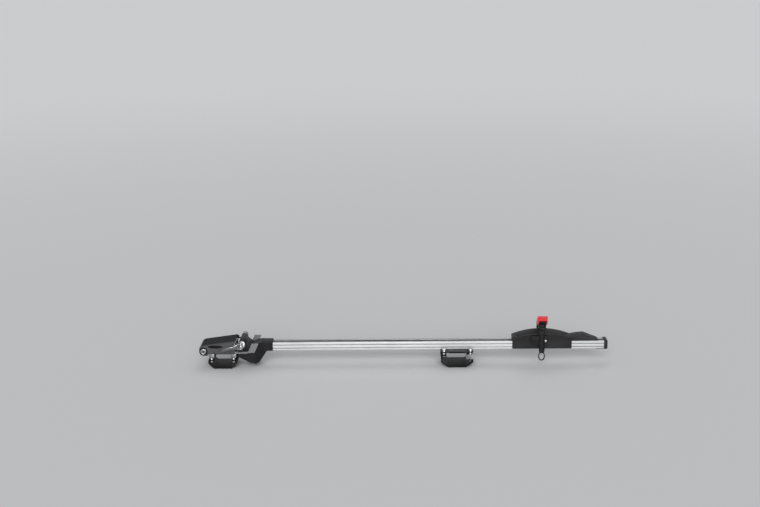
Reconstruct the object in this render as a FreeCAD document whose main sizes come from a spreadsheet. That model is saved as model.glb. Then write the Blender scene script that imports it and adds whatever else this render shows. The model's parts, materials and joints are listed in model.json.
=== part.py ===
import FreeCAD, Part
import math
import os
import re
import Sketcher

# Fork mount bike carrier for two roof bars. Millimetres, +Z up, +X towards the rear of the carrier.
# The origin is the middle of the seat on the front bar, so the bars' top faces lie at Z = 0.

DIMENSIONS = [
    # Places along the carrier
    ("bar_spacing", 805),
    ("bar_width", 56),
    ("rail_start", 145),
    ("rail_end", 1310),
    ("wheel_x", 1096),
    ("strap_x", 1093),
    # Rail section
    ("rail_width", 36),
    ("rail_height", 27),
    ("rail_wall", 2.2),
    ("rail_web", 2.2),
    ("lip_thickness", 2.4),
    ("slot_width", 13),
    ("groove_width", 1.4),
    ("groove_depth", 0.5),
    ("groove_pitch", 10.6),
    ("groove_drop", 1.9),
    ("cap_length", 12),
    ("cap_overhang", 2),
    ("cap_tongue", 22),
    ("cap_lip", 28),
    # Clearances
    ("slide_gap", 0.3),
    ("fit_gap", 0.15),
    ("pin_gap", 0.05),
    # Feet
    ("pad_thickness", 2),
    ("plate_thickness", 4),
    ("plate_length", 110),
    ("plate_half_width", 46),
    ("pad_inset", 2),
    ("bolt_radius", 4),
    ("nut_radius", 7),
    ("nut_height", 6),
    ("bolt_head", 4),
    ("bolt_y", 37),
    ("jaw_travel", 6),
    ("jaw_wall", 4),
    ("jaw_depth", 50),
    ("jaw_shoulder", 32),
    ("jaw_floor_half", 31),
    ("jaw_flange", 18),
    ("rear_bolt_x", 45),
    ("rear_jaw_half", 55),
    ("rear_hook_top", 5),
    ("rear_block_height", 17),
    ("rear_block_length", 24),
    ("rear_block_width", 14),
    # Front foot
    ("front_bolt_x", 38),
    ("front_jaw_half", 49),
    ("front_jaw_top", 20),
    ("base_thickness", 6),
    ("base_front", 47),
    ("base_rear", 55),
    ("base_half_width", 43),
    ("block_height", 14),
    ("block_length", 17.4),
    ("block_width", 18),
    ("block_gap", 0.6),
    # Fork head
    ("axle_x", 68),
    ("axle_z", 37),
    ("head_front", 56),
    ("head_half", 44),
    ("barrel_radius", 12),
    ("barrel_half", 47),
    ("fork_half", 50),
    ("sleeve_radius", 6),
    ("stub_radius", 4.5),
    ("stub_length", 4),
    ("washer_radius", 12),
    ("neck_low_x", 111),
    ("neck_low_z", -38),
    ("neck_back", 140),
    ("shoulder_x", 133),
    ("socket_end", 171),
    ("socket_wall", 3),
    ("socket_roof", 5),
    ("tongue_front", 8),
    ("tongue_half", 24),
    ("tongue_thickness", 8),
    ("guide_thickness", 6),
    ("guide_top", 40),
    ("guide_base", 8),
    # Skewer and its lever
    ("dropout_gap", 7),
    ("skewer_radius", 2.5),
    ("saddle_radius", 10),
    ("saddle_thickness", 3),
    ("cam_radius", 7.7),
    ("cam_thickness", 5),
    ("eye_radius", 6.5),
    ("eye_half", 5),
    ("lever_length", 66),
    ("lever_thickness", 6),
    ("lever_width", 17),
    ("lever_tip_width", 11),
    ("lever_drop", 15),
    ("thumb_nut_radius", 10),
    ("thumb_nut_length", 13),
    ("thumb_nut_notch", 1.2),
    # Cover and lock
    ("hinge_x", 43),
    ("hinge_z", 36),
    ("hinge_radius", 2.5),
    ("knuckle_radius", 6),
    ("lug_radius", 4.5),
    ("lug_width", 7),
    ("arm_drop", 1.2),
    ("cover_half", 47),
    ("cover_wall", 3),
    ("cover_bottom", 3),
    ("cover_top_rear", 46),
    ("cover_top_front", 29),
    ("cover_crown", 9),
    ("lock_x", -64),
    ("lock_z", 13),
    ("nose_radius", 16),
    ("lock_ring_radius", 14),
    ("lock_tube_radius", 12),
    ("lock_radius", 9.5),
    ("lock_ring_proud", 2.5),
    ("lock_depth", 14),
    ("tongue_reach", 14),
    ("tongue_width", 5),
    ("key_width", 1.4),
    ("key_height", 9),
    # Wheel tray
    ("tray_centre", 1096.5),
    ("tray_half_length", 101),
    ("tray_wall", 3),
    ("tray_skirt_bottom", 7),
    ("tray_arch_top", 65),
    ("tray_arch_rise", 18),
    ("tray_mouth_half", 30.5),
    ("ramp_half_width", 17.5),
    ("ramp_reach", 194),
    ("ramp_crest", 144),
    ("ramp_start", 52),
    ("ramp_crest_height", 20),
    ("front_ramp_height", 12.5),
    ("slide_plate_length", 30),
    ("slide_plate_height", 3),
    ("slide_plate_offset", 50),
    ("screw_radius", 3),
    # Strap, anchors and buckle
    ("anchor_half_length", 26.5),
    ("anchor_bottom", 23),
    ("anchor_top", 57),
    ("anchor_face", 38.5),
    ("anchor_pin_radius", 1.5),
    ("strap_width", 20),
    ("strap_thickness", 3),
    ("strap_side", 33.5),
    ("strap_eye_radius", 3.1),
    ("strap_bend", 6),
    ("strap_tail_y", 42.5),
    ("rim_edge_z", 104),
    ("tooth_pitch", 5),
    ("tooth_height", 2),
    ("tooth_width", 12),
    ("tail_end", 8),
    ("loop_width", 17),
    ("loop_length", 36),
    ("loop_wire", 2.8),
    ("buckle_wall", 2.5),
    ("rivet_radius", 1.6),
    ("rivet_offset", 5),
    ("rivet_height", 11),
    ("buckle_bottom", 82),
    ("buckle_top", 118),
    ("buckle_face", 44),
    ("ratchet_y", 41),
    ("ratchet_z", 108),
    ("pawl_z", 91),
    ("hub_radius", 4.2),
    ("pawl_hub_radius", 3),
    ("handle_wall", 3.6),
    ("handle_top", 132),
    ("handle_bar", 16),
    ("handle_face", 52),
    ("handle_foot", 101),
]

doc = FreeCAD.newDocument("fork_mount_bike_carrier")
sheet = doc.addObject("Spreadsheet::Sheet", "Sizes")
for row, (alias, number) in enumerate(DIMENSIONS, start=1):
    sheet.set(f"A{row}", str(number))
    sheet.setAlias(f"A{row}", alias)
doc.recompute()

ALIASES = {alias for alias, number in DIMENSIONS}
PARTS = {}

# Heights and places that several pieces share, written as sums of the driving sizes
RAIL_Z = "(pad_thickness + plate_thickness + slide_gap)"
RAIL_TOP = f"({RAIL_Z} + rail_height)"
RAIL_MID = f"({RAIL_Z} + rail_height / 2)"
BASE_TOP = "(pad_thickness + base_thickness)"
FLOOR_LOW = f"({RAIL_TOP} + slide_gap)"
FLOOR_TOP = f"({FLOOR_LOW} + tray_wall)"
SKIRT_IN = "(rail_width / 2 + slide_gap)"
SKIRT_OUT = f"({SKIRT_IN} + tray_wall)"
EYE_Y = "(fork_half + dropout_gap + saddle_thickness + cam_radius + slide_gap)"


def size(alias):
    """Value of one cell of the sheet."""
    return float(getattr(sheet, alias))


def named(text):
    """Expression text with each size's name pointing at the sheet."""
    def pointed(word):
        return f"Sizes.{word.group()}" if word.group() in ALIASES else word.group()
    return re.sub(r"[a-z_]+", pointed, text)


def bind(item, prop, text):
    """Bind one property to an expression in the sizes."""
    item.setExpression(prop, named(str(text)))


def keep(label, item):
    """Give a finished sub-part its name and keep it for export."""
    item.Label = label
    PARTS[label] = item
    return item


def origin_plane(body, role):
    """One of the body's own origin planes."""
    return [feature for feature in body.Origin.OriginFeatures if feature.Role == role][0]


def outline(body, name, plane, corners, offset="0"):
    """Closed sketch of straight edges, each corner bound to its two coordinates."""
    sketch = body.newObject("Sketcher::SketchObject", name)
    sketch.AttachmentSupport = [(origin_plane(body, plane), "")]
    sketch.MapMode = "FlatFace"
    bind(sketch, "AttachmentOffset.Base.z", offset)
    count = len(corners)
    start = [
        FreeCAD.Vector(100 * math.cos(2 * math.pi * i / count), 100 * math.sin(2 * math.pi * i / count), 0)
        for i in range(count)
    ]
    for i in range(count):
        sketch.addGeometry(Part.LineSegment(start[i], start[(i + 1) % count]), False)
    for i in range(count):
        sketch.addConstraint(Sketcher.Constraint("Coincident", i, 2, (i + 1) % count, 1))
    for i, corner in enumerate(corners):
        for kind, letter, first, text in (
            ("DistanceX", "x", start[i].x, corner[0]),
            ("DistanceY", "y", start[i].y, corner[1]),
        ):
            index = sketch.addConstraint(Sketcher.Constraint(kind, -1, 1, i, 1, first))
            sketch.renameConstraint(index, f"{letter}{i}")
            bind(sketch, f"Constraints.{letter}{i}", text)
    return sketch


def prism(name, plane, corners, low, high):
    """Body whose outline on an origin plane runs from low to high along that plane's own axis."""
    body = doc.addObject("PartDesign::Body", name)
    start = f"-({high})" if plane == "XZ_Plane" else low
    sketch = outline(body, f"{name}_outline", plane, corners, start)
    pad = body.newObject("PartDesign::Pad", f"{name}_pad")
    pad.Profile = sketch
    bind(pad, "Length", f"({high}) - ({low})")
    body.Tip = pad
    doc.recompute()
    return body


def round_edges(body, radius, wanted):
    """Fillet on the edges of the body's last feature that the test picks."""
    feature = body.Tip
    names = [f"Edge{i + 1}" for i, edge in enumerate(feature.Shape.Edges) if wanted(edge)]
    fillet = body.newObject("PartDesign::Fillet", f"{body.Name}_rounding")
    fillet.Base = (feature, names)
    bind(fillet, "Radius", radius)
    body.Tip = fillet
    doc.recompute()
    return body


def along(axis):
    """Test for straight edges along one axis."""
    def wanted(edge):
        first, last = edge.firstVertex().Point, edge.lastVertex().Point
        return edge.Length > 1e-6 and abs(abs((last - first)[axis]) - edge.Length) < 1e-6
    return wanted


def box(name, x_low, x_high, y_low, y_high, z_low, z_high):
    """Block between two corners."""
    item = doc.addObject("Part::Box", name)
    for prop, low, high in (("Length", x_low, x_high), ("Width", y_low, y_high), ("Height", z_low, z_high)):
        bind(item, prop, f"({high}) - ({low})")
    for letter, low in (("x", x_low), ("y", y_low), ("z", z_low)):
        bind(item, f"Placement.Base.{letter}", low)
    return item


TURN = {
    "x": FreeCAD.Rotation(FreeCAD.Vector(0, 1, 0), 90),
    "y": FreeCAD.Rotation(FreeCAD.Vector(1, 0, 0), -90),
    "z": FreeCAD.Rotation(),
}


def rod(name, axis, centre, radius, low, high):
    """Cylinder along an axis; centre gives its two other coordinates in X, Y, Z order."""
    item = doc.addObject("Part::Cylinder", name)
    item.Placement = FreeCAD.Placement(FreeCAD.Vector(), TURN[axis])
    bind(item, "Radius", radius)
    bind(item, "Height", f"({high}) - ({low})")
    place = dict(zip([letter for letter in "xyz" if letter != axis], centre))
    place[axis] = low
    for letter, text in place.items():
        bind(item, f"Placement.Base.{letter}", text)
    return item


def taper(name, axis, centre, radius_low, radius_high, low, high):
    """Cone frustum along an axis."""
    item = doc.addObject("Part::Cone", name)
    item.Placement = FreeCAD.Placement(FreeCAD.Vector(), TURN[axis])
    bind(item, "Radius1", radius_low)
    bind(item, "Radius2", radius_high)
    bind(item, "Height", f"({high}) - ({low})")
    place = dict(zip([letter for letter in "xyz" if letter != axis], centre))
    place[axis] = low
    for letter, text in place.items():
        bind(item, f"Placement.Base.{letter}", text)
    return item


def fuse(name, *pieces):
    """One solid of overlapping pieces, or a group of separate solids."""
    item = doc.addObject("Part::MultiFuse", name)
    item.Shapes = list(pieces)
    item.Refine = True
    doc.recompute()
    return item


def common(name, *pieces):
    """What all the pieces share."""
    item = doc.addObject("Part::MultiCommon", name)
    item.Shapes = list(pieces)
    doc.recompute()
    return item


def cut(name, base, *tools):
    """The base with every tool taken out of it."""
    item = doc.addObject("Part::Cut", name)
    item.Base = base
    item.Tool = tools[0] if len(tools) == 1 else fuse(f"{name}_tools", *tools)
    doc.recompute()
    return item


def mirrored(corners):
    """Corners followed by their mirror images in the first coordinate, so that the loop closes."""
    return corners + [(f"-({first})", second) for first, second in reversed(corners)]


def shifted(corners, along_x):
    """Corners moved along the first coordinate."""
    return [(f"({along_x}) + ({first})", second) for first, second in corners]


# Rail: one extrusion with a slot above and a slot below its middle web

def make_rail():
    half, slot = "(rail_width / 2)", "(slot_width / 2)"
    inner = f"({half} - rail_wall)"
    low, high = RAIL_Z, RAIL_TOP
    web_low, web_high = f"{RAIL_MID} - rail_web / 2", f"{RAIL_MID} + rail_web / 2"
    side = [(half, low)]
    for row in ("-0.5", "0.5"):
        middle = f"{RAIL_MID} - groove_drop + {row} * groove_pitch"
        side += [
            (half, f"{middle} - groove_width / 2"),
            (f"{half} - groove_depth", f"{middle} - groove_width / 2"),
            (f"{half} - groove_depth", f"{middle} + groove_width / 2"),
            (half, f"{middle} + groove_width / 2"),
        ]
    corners = [
        (inner, web_low),
        (inner, f"{low} + lip_thickness"),
        (slot, f"{low} + lip_thickness"),
        (slot, low),
    ]
    corners += side
    corners += [
        (half, high),
        (slot, high),
        (slot, f"{high} - lip_thickness"),
        (inner, f"{high} - lip_thickness"),
        (inner, web_high),
    ]
    keep("rail", prism("rail", "YZ_Plane", mirrored(corners), "rail_start", "rail_end"))


def make_end_cap():
    half = "(rail_width / 2)"
    inner = f"({half} - rail_wall - fit_gap)"
    flange = prism("cap_flange", "XY_Plane", [
        ("rail_end", f"-{half} - cap_overhang"),
        ("rail_end + cap_length", f"-{half} - cap_overhang"),
        ("rail_end + cap_length", f"{half} + cap_overhang"),
        ("rail_end", f"{half} + cap_overhang"),
    ], f"{RAIL_Z} - cap_overhang", f"{RAIL_TOP} + cap_overhang")
    outer_face = size("rail_end") + size("cap_length")
    round_edges(flange, "cap_length / 3", lambda edge: edge.CenterOfMass.x > outer_face - 0.1)
    lip = box("cap_lip_plate", "rail_end - cap_lip", "rail_end + 1", f"-{half}", half,
              f"{RAIL_Z} - cap_overhang", RAIL_Z)
    upper = box("cap_upper_tongue", "rail_end - cap_tongue", "rail_end + 1", f"-{inner}", inner,
                f"{RAIL_MID} + rail_web / 2 + fit_gap", f"{RAIL_TOP} - lip_thickness - fit_gap")
    lower = box("cap_lower_tongue", "rail_end - cap_tongue", "rail_end + 1", f"-{inner}", inner,
                f"{RAIL_Z} + lip_thickness + fit_gap", f"{RAIL_MID} - rail_web / 2 - fit_gap")
    keep("rail_end_cap", fuse("end_cap", flange, lip, upper, lower))


# Fork head: a cast neck that holds the rail in a socket and the axle in a barrel

def make_head():
    bottom = f"({RAIL_Z} - fit_gap - socket_wall)"
    top = f"({RAIL_TOP} + fit_gap + socket_roof)"
    side = prism("head_side", "XZ_Plane", [
        ("socket_end", top),
        ("shoulder_x", top),
        ("neck_low_x + 7", f"{top} - 6"),
        ("axle_x + barrel_radius + 14", f"{BASE_TOP} + tongue_thickness + 3"),
        ("head_front", f"{BASE_TOP} + tongue_thickness"),
        ("head_front", "-12"),
        ("neck_low_x - 12", "neck_low_z + 4"),
        ("neck_low_x + 1", "neck_low_z"),
        ("neck_low_x + 13", "neck_low_z + 7"),
        ("neck_back + 1", f"{bottom} - 10"),
        ("neck_back + 9", bottom),
        ("socket_end", bottom),
    ], "-head_half", "head_half")
    round_edges(side, "5", lambda edge: along(1)(edge) and edge.CenterOfMass.z < size("neck_low_z") + 20)
    neck_half = "(rail_width / 2 + fit_gap + socket_wall)"
    plan = prism("head_plan", "XY_Plane", mirrored_plan([
        ("head_front - 1", "head_half + 1"),
        ("neck_low_x", "head_half + 1"),
        ("neck_low_x + 8", "head_half - 4"),
        ("neck_back", neck_half),
        ("socket_end + 1", neck_half),
    ]), "neck_low_z - 5", "guide_top + 20")
    block = common("head_block", side, plan)
    barrel = rod("head_barrel", "y", ("axle_x", "axle_z"), "barrel_radius", "-barrel_half", "barrel_half")
    saddle = prism("head_saddle", "XZ_Plane", [
        ("head_front", f"{BASE_TOP} + 2"),
        ("head_front", "axle_z"),
        ("axle_x + barrel_radius", "axle_z"),
        ("axle_x + barrel_radius + 22", f"{BASE_TOP} + 12"),
        ("axle_x + barrel_radius + 10", f"{BASE_TOP} + 2"),
    ], "-head_half", "head_half")
    tongue = box("head_tongue", "tongue_front", "head_front + 2", "-tongue_half", "tongue_half",
                 BASE_TOP, f"{BASE_TOP} + tongue_thickness")
    lugs = []
    for word, sign in (("near", "-1"), ("far", "1")):
        outer = f"{sign} * (cover_half - cover_wall - slide_gap)"
        inner = f"{sign} * (cover_half - cover_wall - slide_gap - lug_width)"
        low, high = (outer, inner) if word == "near" else (inner, outer)
        lugs.append(rod(f"head_lug_{word}", "y", ("hinge_x", "hinge_z"), "lug_radius", low, high))
        lugs.append(prism(f"head_arm_{word}", "XZ_Plane", [
            ("hinge_x", "hinge_z - lug_radius"),
            ("hinge_x", "hinge_z - arm_drop"),
            ("axle_x", "hinge_z - arm_drop"),
            ("axle_x", "hinge_z - lug_radius - 2"),
        ], low, high))
    solid = fuse("head_solid", block, barrel, saddle, tongue, *lugs)
    half, gap = "(rail_width / 2 + fit_gap)", "fit_gap"
    socket = box("head_socket", "rail_start - fit_gap", "socket_end + 1", f"-{half}", half,
                 f"{RAIL_Z} - {gap}", f"{RAIL_TOP} + {gap}")
    bore = rod("head_bore", "y", ("axle_x", "axle_z"), "sleeve_radius + pin_gap",
               "-barrel_half - 1", "barrel_half + 1")
    pin = rod("head_pin_bore", "y", ("hinge_x", "hinge_z"), "hinge_radius + pin_gap",
              "-cover_half", "cover_half")
    holes = [socket, bore, pin]
    for count, (x, y) in enumerate(base_screw_places()):
        holes.append(rod(f"head_base_hole_{count}", "z", (x, y), "screw_radius + pin_gap",
                         BASE_TOP, f"{BASE_TOP} + tongue_thickness - 1"))
    for count, x in enumerate(neck_screw_places()):
        holes.append(rod(f"head_neck_hole_{count}", "z", (x, "0"), "screw_radius + pin_gap",
                         f"{bottom} - 1", RAIL_Z))
    keep("head_casting", cut("head", solid, *holes))


def mirrored_plan(corners):
    """Corners in X and Y followed by their mirror images across the X axis."""
    return corners + [(first, f"-({second})") for first, second in reversed(corners)]


def base_screw_places():
    return [(f"tongue_front + {step}", y) for step in ("9", "33") for y in ("-14", "14")]


def neck_screw_places():
    return ["rail_start + 10", "rail_start + 21"]


def make_head_trim():
    for word, sign in (("near", "-1"), ("far", "1")):
        inner, outer = f"{sign} * head_half", f"{sign} * (head_half + guide_thickness)"
        low, high = (outer, inner) if word == "near" else (inner, outer)
        plate = prism(f"guide_plate_{word}", "XZ_Plane", [
            ("neck_low_x - 9", "guide_top"),
            ("neck_low_x + 15", "guide_top"),
            ("neck_low_x", "guide_base"),
            ("neck_low_x - 23", "guide_base"),
        ], low, high)
        round_edges(plate, "2", along(1))
        foot = prism(f"guide_foot_{word}", "XZ_Plane", [
            ("hinge_x + 4", "guide_base - 3"),
            ("hinge_x + 4", "guide_base + 2"),
            ("neck_low_x - 20", "guide_base + 4"),
            ("neck_low_x - 20", "guide_base"),
            ("neck_low_x - 26", "guide_base - 3"),
        ], low, high)
        keep(f"fork_guide_{word}", fuse(f"guide_{word}", plate, foot))

        inner, outer = f"{sign} * barrel_half", f"{sign} * fork_half"
        low, high = (outer, inner) if word == "near" else (inner, outer)
        washer = rod(f"washer_disc_{word}", "y", ("axle_x", "axle_z"), "washer_radius", low, high)
        hole = rod(f"washer_hole_{word}", "y", ("axle_x", "axle_z"), "sleeve_radius + pin_gap",
                   f"{low} - 1", f"{high} + 1")
        keep(f"dropout_washer_{word}", cut(f"washer_{word}", washer, hole))

    tube = rod("sleeve_tube", "y", ("axle_x", "axle_z"), "sleeve_radius", "-fork_half", "fork_half")
    stubs = rod("sleeve_stubs", "y", ("axle_x", "axle_z"), "stub_radius",
                "-(fork_half + stub_length)", "fork_half + stub_length")
    hole = rod("sleeve_hole", "y", ("axle_x", "axle_z"), "skewer_radius + pin_gap",
               "-(fork_half + stub_length + 1)", "fork_half + stub_length + 1")
    keep("axle_sleeve", cut("sleeve", fuse("sleeve_solid", tube, stubs), hole))


def make_head_fasteners():
    screws = []
    for count, (x, y) in enumerate(base_screw_places()):
        screws.append(rod(f"base_screw_{count}", "z", (x, y), "screw_radius",
                          "pad_thickness + 0.5", f"{BASE_TOP} + tongue_thickness - 2"))
        screws.append(taper(f"base_screw_head_{count}", "z", (x, y), "screw_radius * 1.9", "screw_radius",
                            "pad_thickness + 0.2", "pad_thickness + 3.2"))
    keep("base_screws", fuse("base_screw_group", *screws))

    low = f"{RAIL_Z} + lip_thickness"
    plate = box("neck_nut_block", "rail_start + 2", "rail_start + 32",
                "-(rail_width / 2 - rail_wall - slide_gap)",
                "rail_width / 2 - rail_wall - slide_gap", low, f"{low} + slide_plate_height + 2")
    holes = [
        rod(f"neck_nut_hole_{count}", "z", (x, "0"), "screw_radius + pin_gap", f"{low} - 1", f"{low} + 6")
        for count, x in enumerate(neck_screw_places())
    ]
    keep("neck_nut_plate", cut("neck_nut", plate, *holes))

    bottom = f"({RAIL_Z} - fit_gap - socket_wall)"
    screws = []
    for count, x in enumerate(neck_screw_places()):
        screws.append(rod(f"neck_screw_{count}", "z", (x, "0"), "screw_radius",
                          f"{bottom} - 1", f"{low} + 4.5"))
        screws.append(rod(f"neck_screw_head_{count}", "z", (x, "0"), "screw_radius * 1.5",
                          f"{bottom} - 3", bottom))
    keep("neck_screws", fuse("neck_screw_group", *screws))


# Front foot

def bolt_places(x_offset, middle):
    return [
        (f"{middle} + {x_sign} * {x_offset}", f"{y_sign} * bolt_y")
        for x_sign in ("-1", "1") for y_sign in ("-1", "1")
    ]


def bolt_holes(name, places, low, high):
    return [
        rod(f"{name}_{count}", "z", place, "bolt_radius + pin_gap", low, high)
        for count, place in enumerate(places)
    ]


def make_front_foot():
    places = bolt_places("front_bolt_x", "0")
    base = prism("base_plate", "XY_Plane", [
        ("-base_front", "-base_half_width"),
        ("base_rear", "-base_half_width"),
        ("base_rear", "base_half_width"),
        ("-base_front", "base_half_width"),
    ], "pad_thickness", BASE_TOP)
    round_edges(base, "5", along(2))
    sinks = []
    for count, (x, y) in enumerate(base_screw_places()):
        sinks.append(rod(f"base_sink_bore_{count}", "z", (x, y), "screw_radius + pin_gap",
                         "pad_thickness - 1", f"{BASE_TOP} + 1"))
        sinks.append(taper(f"base_sink_{count}", "z", (x, y), "screw_radius * 1.9 + 0.3",
                           "screw_radius + pin_gap", "pad_thickness", "pad_thickness + 3.4"))
    keep("front_base", cut("front_base_plate", base, *sinks,
                           *bolt_holes("base_bolt_hole", places, "0", f"{BASE_TOP} + 1")))

    half = "(bar_width / 2)"
    keep("front_pad", round_edges(prism("front_pad", "XY_Plane", [
        (f"-{half}", "-base_half_width + pad_inset"),
        (half, "-base_half_width + pad_inset"),
        (half, "base_half_width - pad_inset"),
        (f"-{half}", "base_half_width - pad_inset"),
    ], "0", "pad_thickness"), "3", along(2)))

    blocks = []
    inner, outer = "(bar_width / 2 + block_gap)", "(bar_width / 2 + block_gap + block_length)"
    for count, (x, y) in enumerate(places):
        low, high = (f"-{outer}", f"-{inner}") if count < 2 else (inner, outer)
        blocks.append(box(f"front_block_{count}", low, high, f"{y} - block_width / 2",
                          f"{y} + block_width / 2",
                          "pad_thickness - block_height", "pad_thickness"))
    keep("front_clamp_blocks", cut("front_blocks", fuse("front_block_group", *blocks),
                                   *bolt_holes("front_block_hole", places, "-20", "pad_thickness + 1")))

    keep("front_jaw", cut(
        "front_jaw_cut",
        jaw("front_jaw_body", "0", "front_jaw_half", "front_jaw_top", "front_jaw_top"),
        *bolt_holes("front_jaw_hole", places, "-front_jaw_top - 10", "-front_jaw_top + 1")))

    bolts, nuts = [], []
    for count, place in enumerate(places):
        low = "-(front_jaw_top + jaw_wall)"
        bolts.append(rod(f"front_bolt_{count}", "z", place, "bolt_radius",
                         f"{low} - 1", f"{BASE_TOP} + nut_height + 1"))
        bolts.append(rod(f"front_bolt_head_{count}", "z", place, "bolt_radius * 1.7",
                         f"{low} - bolt_head", low))
        nut = hexagon(f"front_nut_{count}", place, "nut_radius", BASE_TOP, f"{BASE_TOP} + nut_height")
        nuts.append(cut(f"front_nut_bored_{count}", nut,
                        *bolt_holes(f"front_nut_hole_{count}", [place], "0",
                                    f"{BASE_TOP} + nut_height + 1")))
    keep("front_bolts", fuse("front_bolt_group", *bolts))
    keep("front_nuts", fuse("front_nut_group", *nuts))


def hexagon(name, place, radius, low, high):
    """Six-sided prism across its corners."""
    corners = [
        (f"{place[0]} + {radius} * cos({60 * step})", f"{place[1]} + {radius} * sin({60 * step})")
        for step in range(6)
    ]
    return prism(name, "XY_Plane", corners, low, high)


def jaw(name, middle, half, left_top, right_top):
    """Bent channel that passes under the bar, with an inward flange at the top of each leg."""
    corners = shifted([
        (f"-{half} + jaw_flange", f"-{left_top}"),
        (f"-{half}", f"-{left_top}"),
        (f"-{half}", "-jaw_shoulder"),
        ("-jaw_floor_half", "-jaw_depth"),
        ("jaw_floor_half", "-jaw_depth"),
        (half, "-jaw_shoulder"),
        (half, f"-{right_top}"),
        (f"{half} - jaw_flange", f"-{right_top}"),
        (f"{half} - jaw_flange", f"-{right_top} - jaw_wall"),
        (f"{half} - jaw_wall", f"-{right_top} - jaw_wall"),
        (f"{half} - jaw_wall", "-jaw_shoulder + jaw_wall / 2"),
        ("jaw_floor_half - jaw_wall / 2", "-jaw_depth + jaw_wall"),
        ("-jaw_floor_half + jaw_wall / 2", "-jaw_depth + jaw_wall"),
        (f"-{half} + jaw_wall", "-jaw_shoulder + jaw_wall / 2"),
        (f"-{half} + jaw_wall", f"-{left_top} - jaw_wall"),
        (f"-{half} + jaw_flange", f"-{left_top} - jaw_wall"),
    ], middle)
    return prism(name, "XZ_Plane", corners, "-plate_half_width", "plate_half_width")


# Rear foot: a plate that slides along the rail, clamped to the rear bar by its own jaw

def make_rear_foot():
    middle = "bar_spacing"
    places = bolt_places("rear_bolt_x", middle)
    top = "(pad_thickness + plate_thickness)"
    plate = prism("rear_plate_body", "XY_Plane", shifted([
        ("-plate_length / 2", "-plate_half_width"),
        ("plate_length / 2", "-plate_half_width"),
        ("plate_length / 2", "plate_half_width"),
        ("-plate_length / 2", "plate_half_width"),
    ], middle), "pad_thickness", top)
    round_edges(plate, "6", along(2))
    tee_places = [f"{middle} - 24", f"{middle} + 24"]
    sinks = []
    for count, x in enumerate(tee_places):
        sinks.append(rod(f"plate_sink_bore_{count}", "z", (x, "0"), "screw_radius + pin_gap", "0",
                         f"{top} + 1"))
        sinks.append(taper(f"plate_sink_{count}", "z", (x, "0"), "screw_radius * 1.9 + 0.3",
                           "screw_radius + pin_gap",
                           "pad_thickness", "pad_thickness + 3.4"))
    keep("rear_plate",
         cut("rear_plate_cut", plate, *sinks, *bolt_holes("plate_bolt_hole", places, "0", f"{top} + 1")))

    keep("rear_pad", round_edges(prism("rear_pad", "XY_Plane", shifted([
        ("-bar_width / 2", "-plate_half_width + pad_inset"),
        ("bar_width / 2", "-plate_half_width + pad_inset"),
        ("bar_width / 2", "plate_half_width - pad_inset"),
        ("-bar_width / 2", "plate_half_width - pad_inset"),
    ], middle), "0", "pad_thickness"), "3", along(2)))

    under_lip = f"({RAIL_Z} + lip_thickness + slide_gap)"
    neck = "(slot_width / 2 - slide_gap)"
    wide = "(rail_width / 2 - rail_wall - slide_gap)"
    bar = prism("tee_section", "YZ_Plane", mirrored([
        (wide, f"{under_lip} + slide_plate_height"),
        (wide, under_lip),
        (neck, under_lip),
        (neck, top),
    ]), f"{middle} - 40", f"{middle} + 40")
    holes = [
        rod(f"tee_hole_{count}", "z", (x, "0"), "screw_radius + pin_gap", "0", f"{under_lip} + 10")
        for count, x in enumerate(tee_places)
    ]
    keep("rear_slider", cut("rear_slider_cut", bar, *holes))
    screws = []
    for count, x in enumerate(tee_places):
        screws.append(rod(f"tee_screw_{count}", "z", (x, "0"), "screw_radius", "pad_thickness + 0.5",
                          f"{under_lip} + slide_plate_height - 0.5"))
        screws.append(taper(f"tee_screw_head_{count}", "z", (x, "0"), "screw_radius * 1.9", "screw_radius",
                            "pad_thickness + 0.2", "pad_thickness + 3.2"))
    keep("slider_screws", fuse("slider_screw_group", *screws))

    low_top = "(rear_hook_top + rear_block_height)"
    keep("rear_jaw", cut(
        "rear_jaw_cut",
        jaw("rear_jaw_body", middle, "rear_jaw_half", "rear_hook_top", low_top),
        *bolt_holes("rear_jaw_hole", places, f"-{low_top} - 10", "0")))

    blocks = []
    for count, (x, y) in enumerate(places[2:]):
        block = box(f"rear_block_{count}", f"{x} + 9 - rear_block_length", f"{x} + 9",
                    f"{y} - rear_block_width / 2", f"{y} + rear_block_width / 2", f"-{low_top}",
                    "-rear_hook_top")
        blocks.append(block)
    keep("rear_clamp_blocks", cut("rear_blocks", fuse("rear_block_group", *blocks),
                                  *bolt_holes("rear_block_hole", places[2:], f"-{low_top} - 1", "0")))

    bolts, nuts = [], []
    for count, place in enumerate(places):
        seat = "-(rear_hook_top + jaw_wall)" if count < 2 else f"-({low_top} + jaw_wall)"
        bolts.append(rod(f"rear_bolt_{count}", "z", place, "bolt_radius", f"{seat} - 1", f"{top} + 1"))
        bolts.append(rod(f"rear_bolt_head_{count}", "z", place, "bolt_radius * 1.4",
                         f"{seat} - bolt_head", seat))
        nut = hexagon(f"rear_nut_{count}", place, "nut_radius", top, f"{top} + nut_height")
        dome = doc.addObject("Part::Sphere", f"rear_nut_dome_{count}")
        bind(dome, "Radius", "nut_radius * 0.82")
        bind(dome, "Placement.Base.x", place[0])
        bind(dome, "Placement.Base.y", place[1])
        bind(dome, "Placement.Base.z", f"{top} + nut_height - 1")
        solid = fuse(f"rear_nut_solid_{count}", nut, dome)
        nuts.append(cut(f"rear_nut_bored_{count}", solid, *bolt_holes(
            f"rear_nut_hole_{count}", [place], f"{top} - 8", f"{top} + jaw_travel + 1.5")))
    keep("rear_bolts", fuse("rear_bolt_group", *bolts))
    keep("rear_nuts", fuse("rear_nut_group", *nuts))


# Quick-release skewer, its cam lever and its thumb nut

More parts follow.
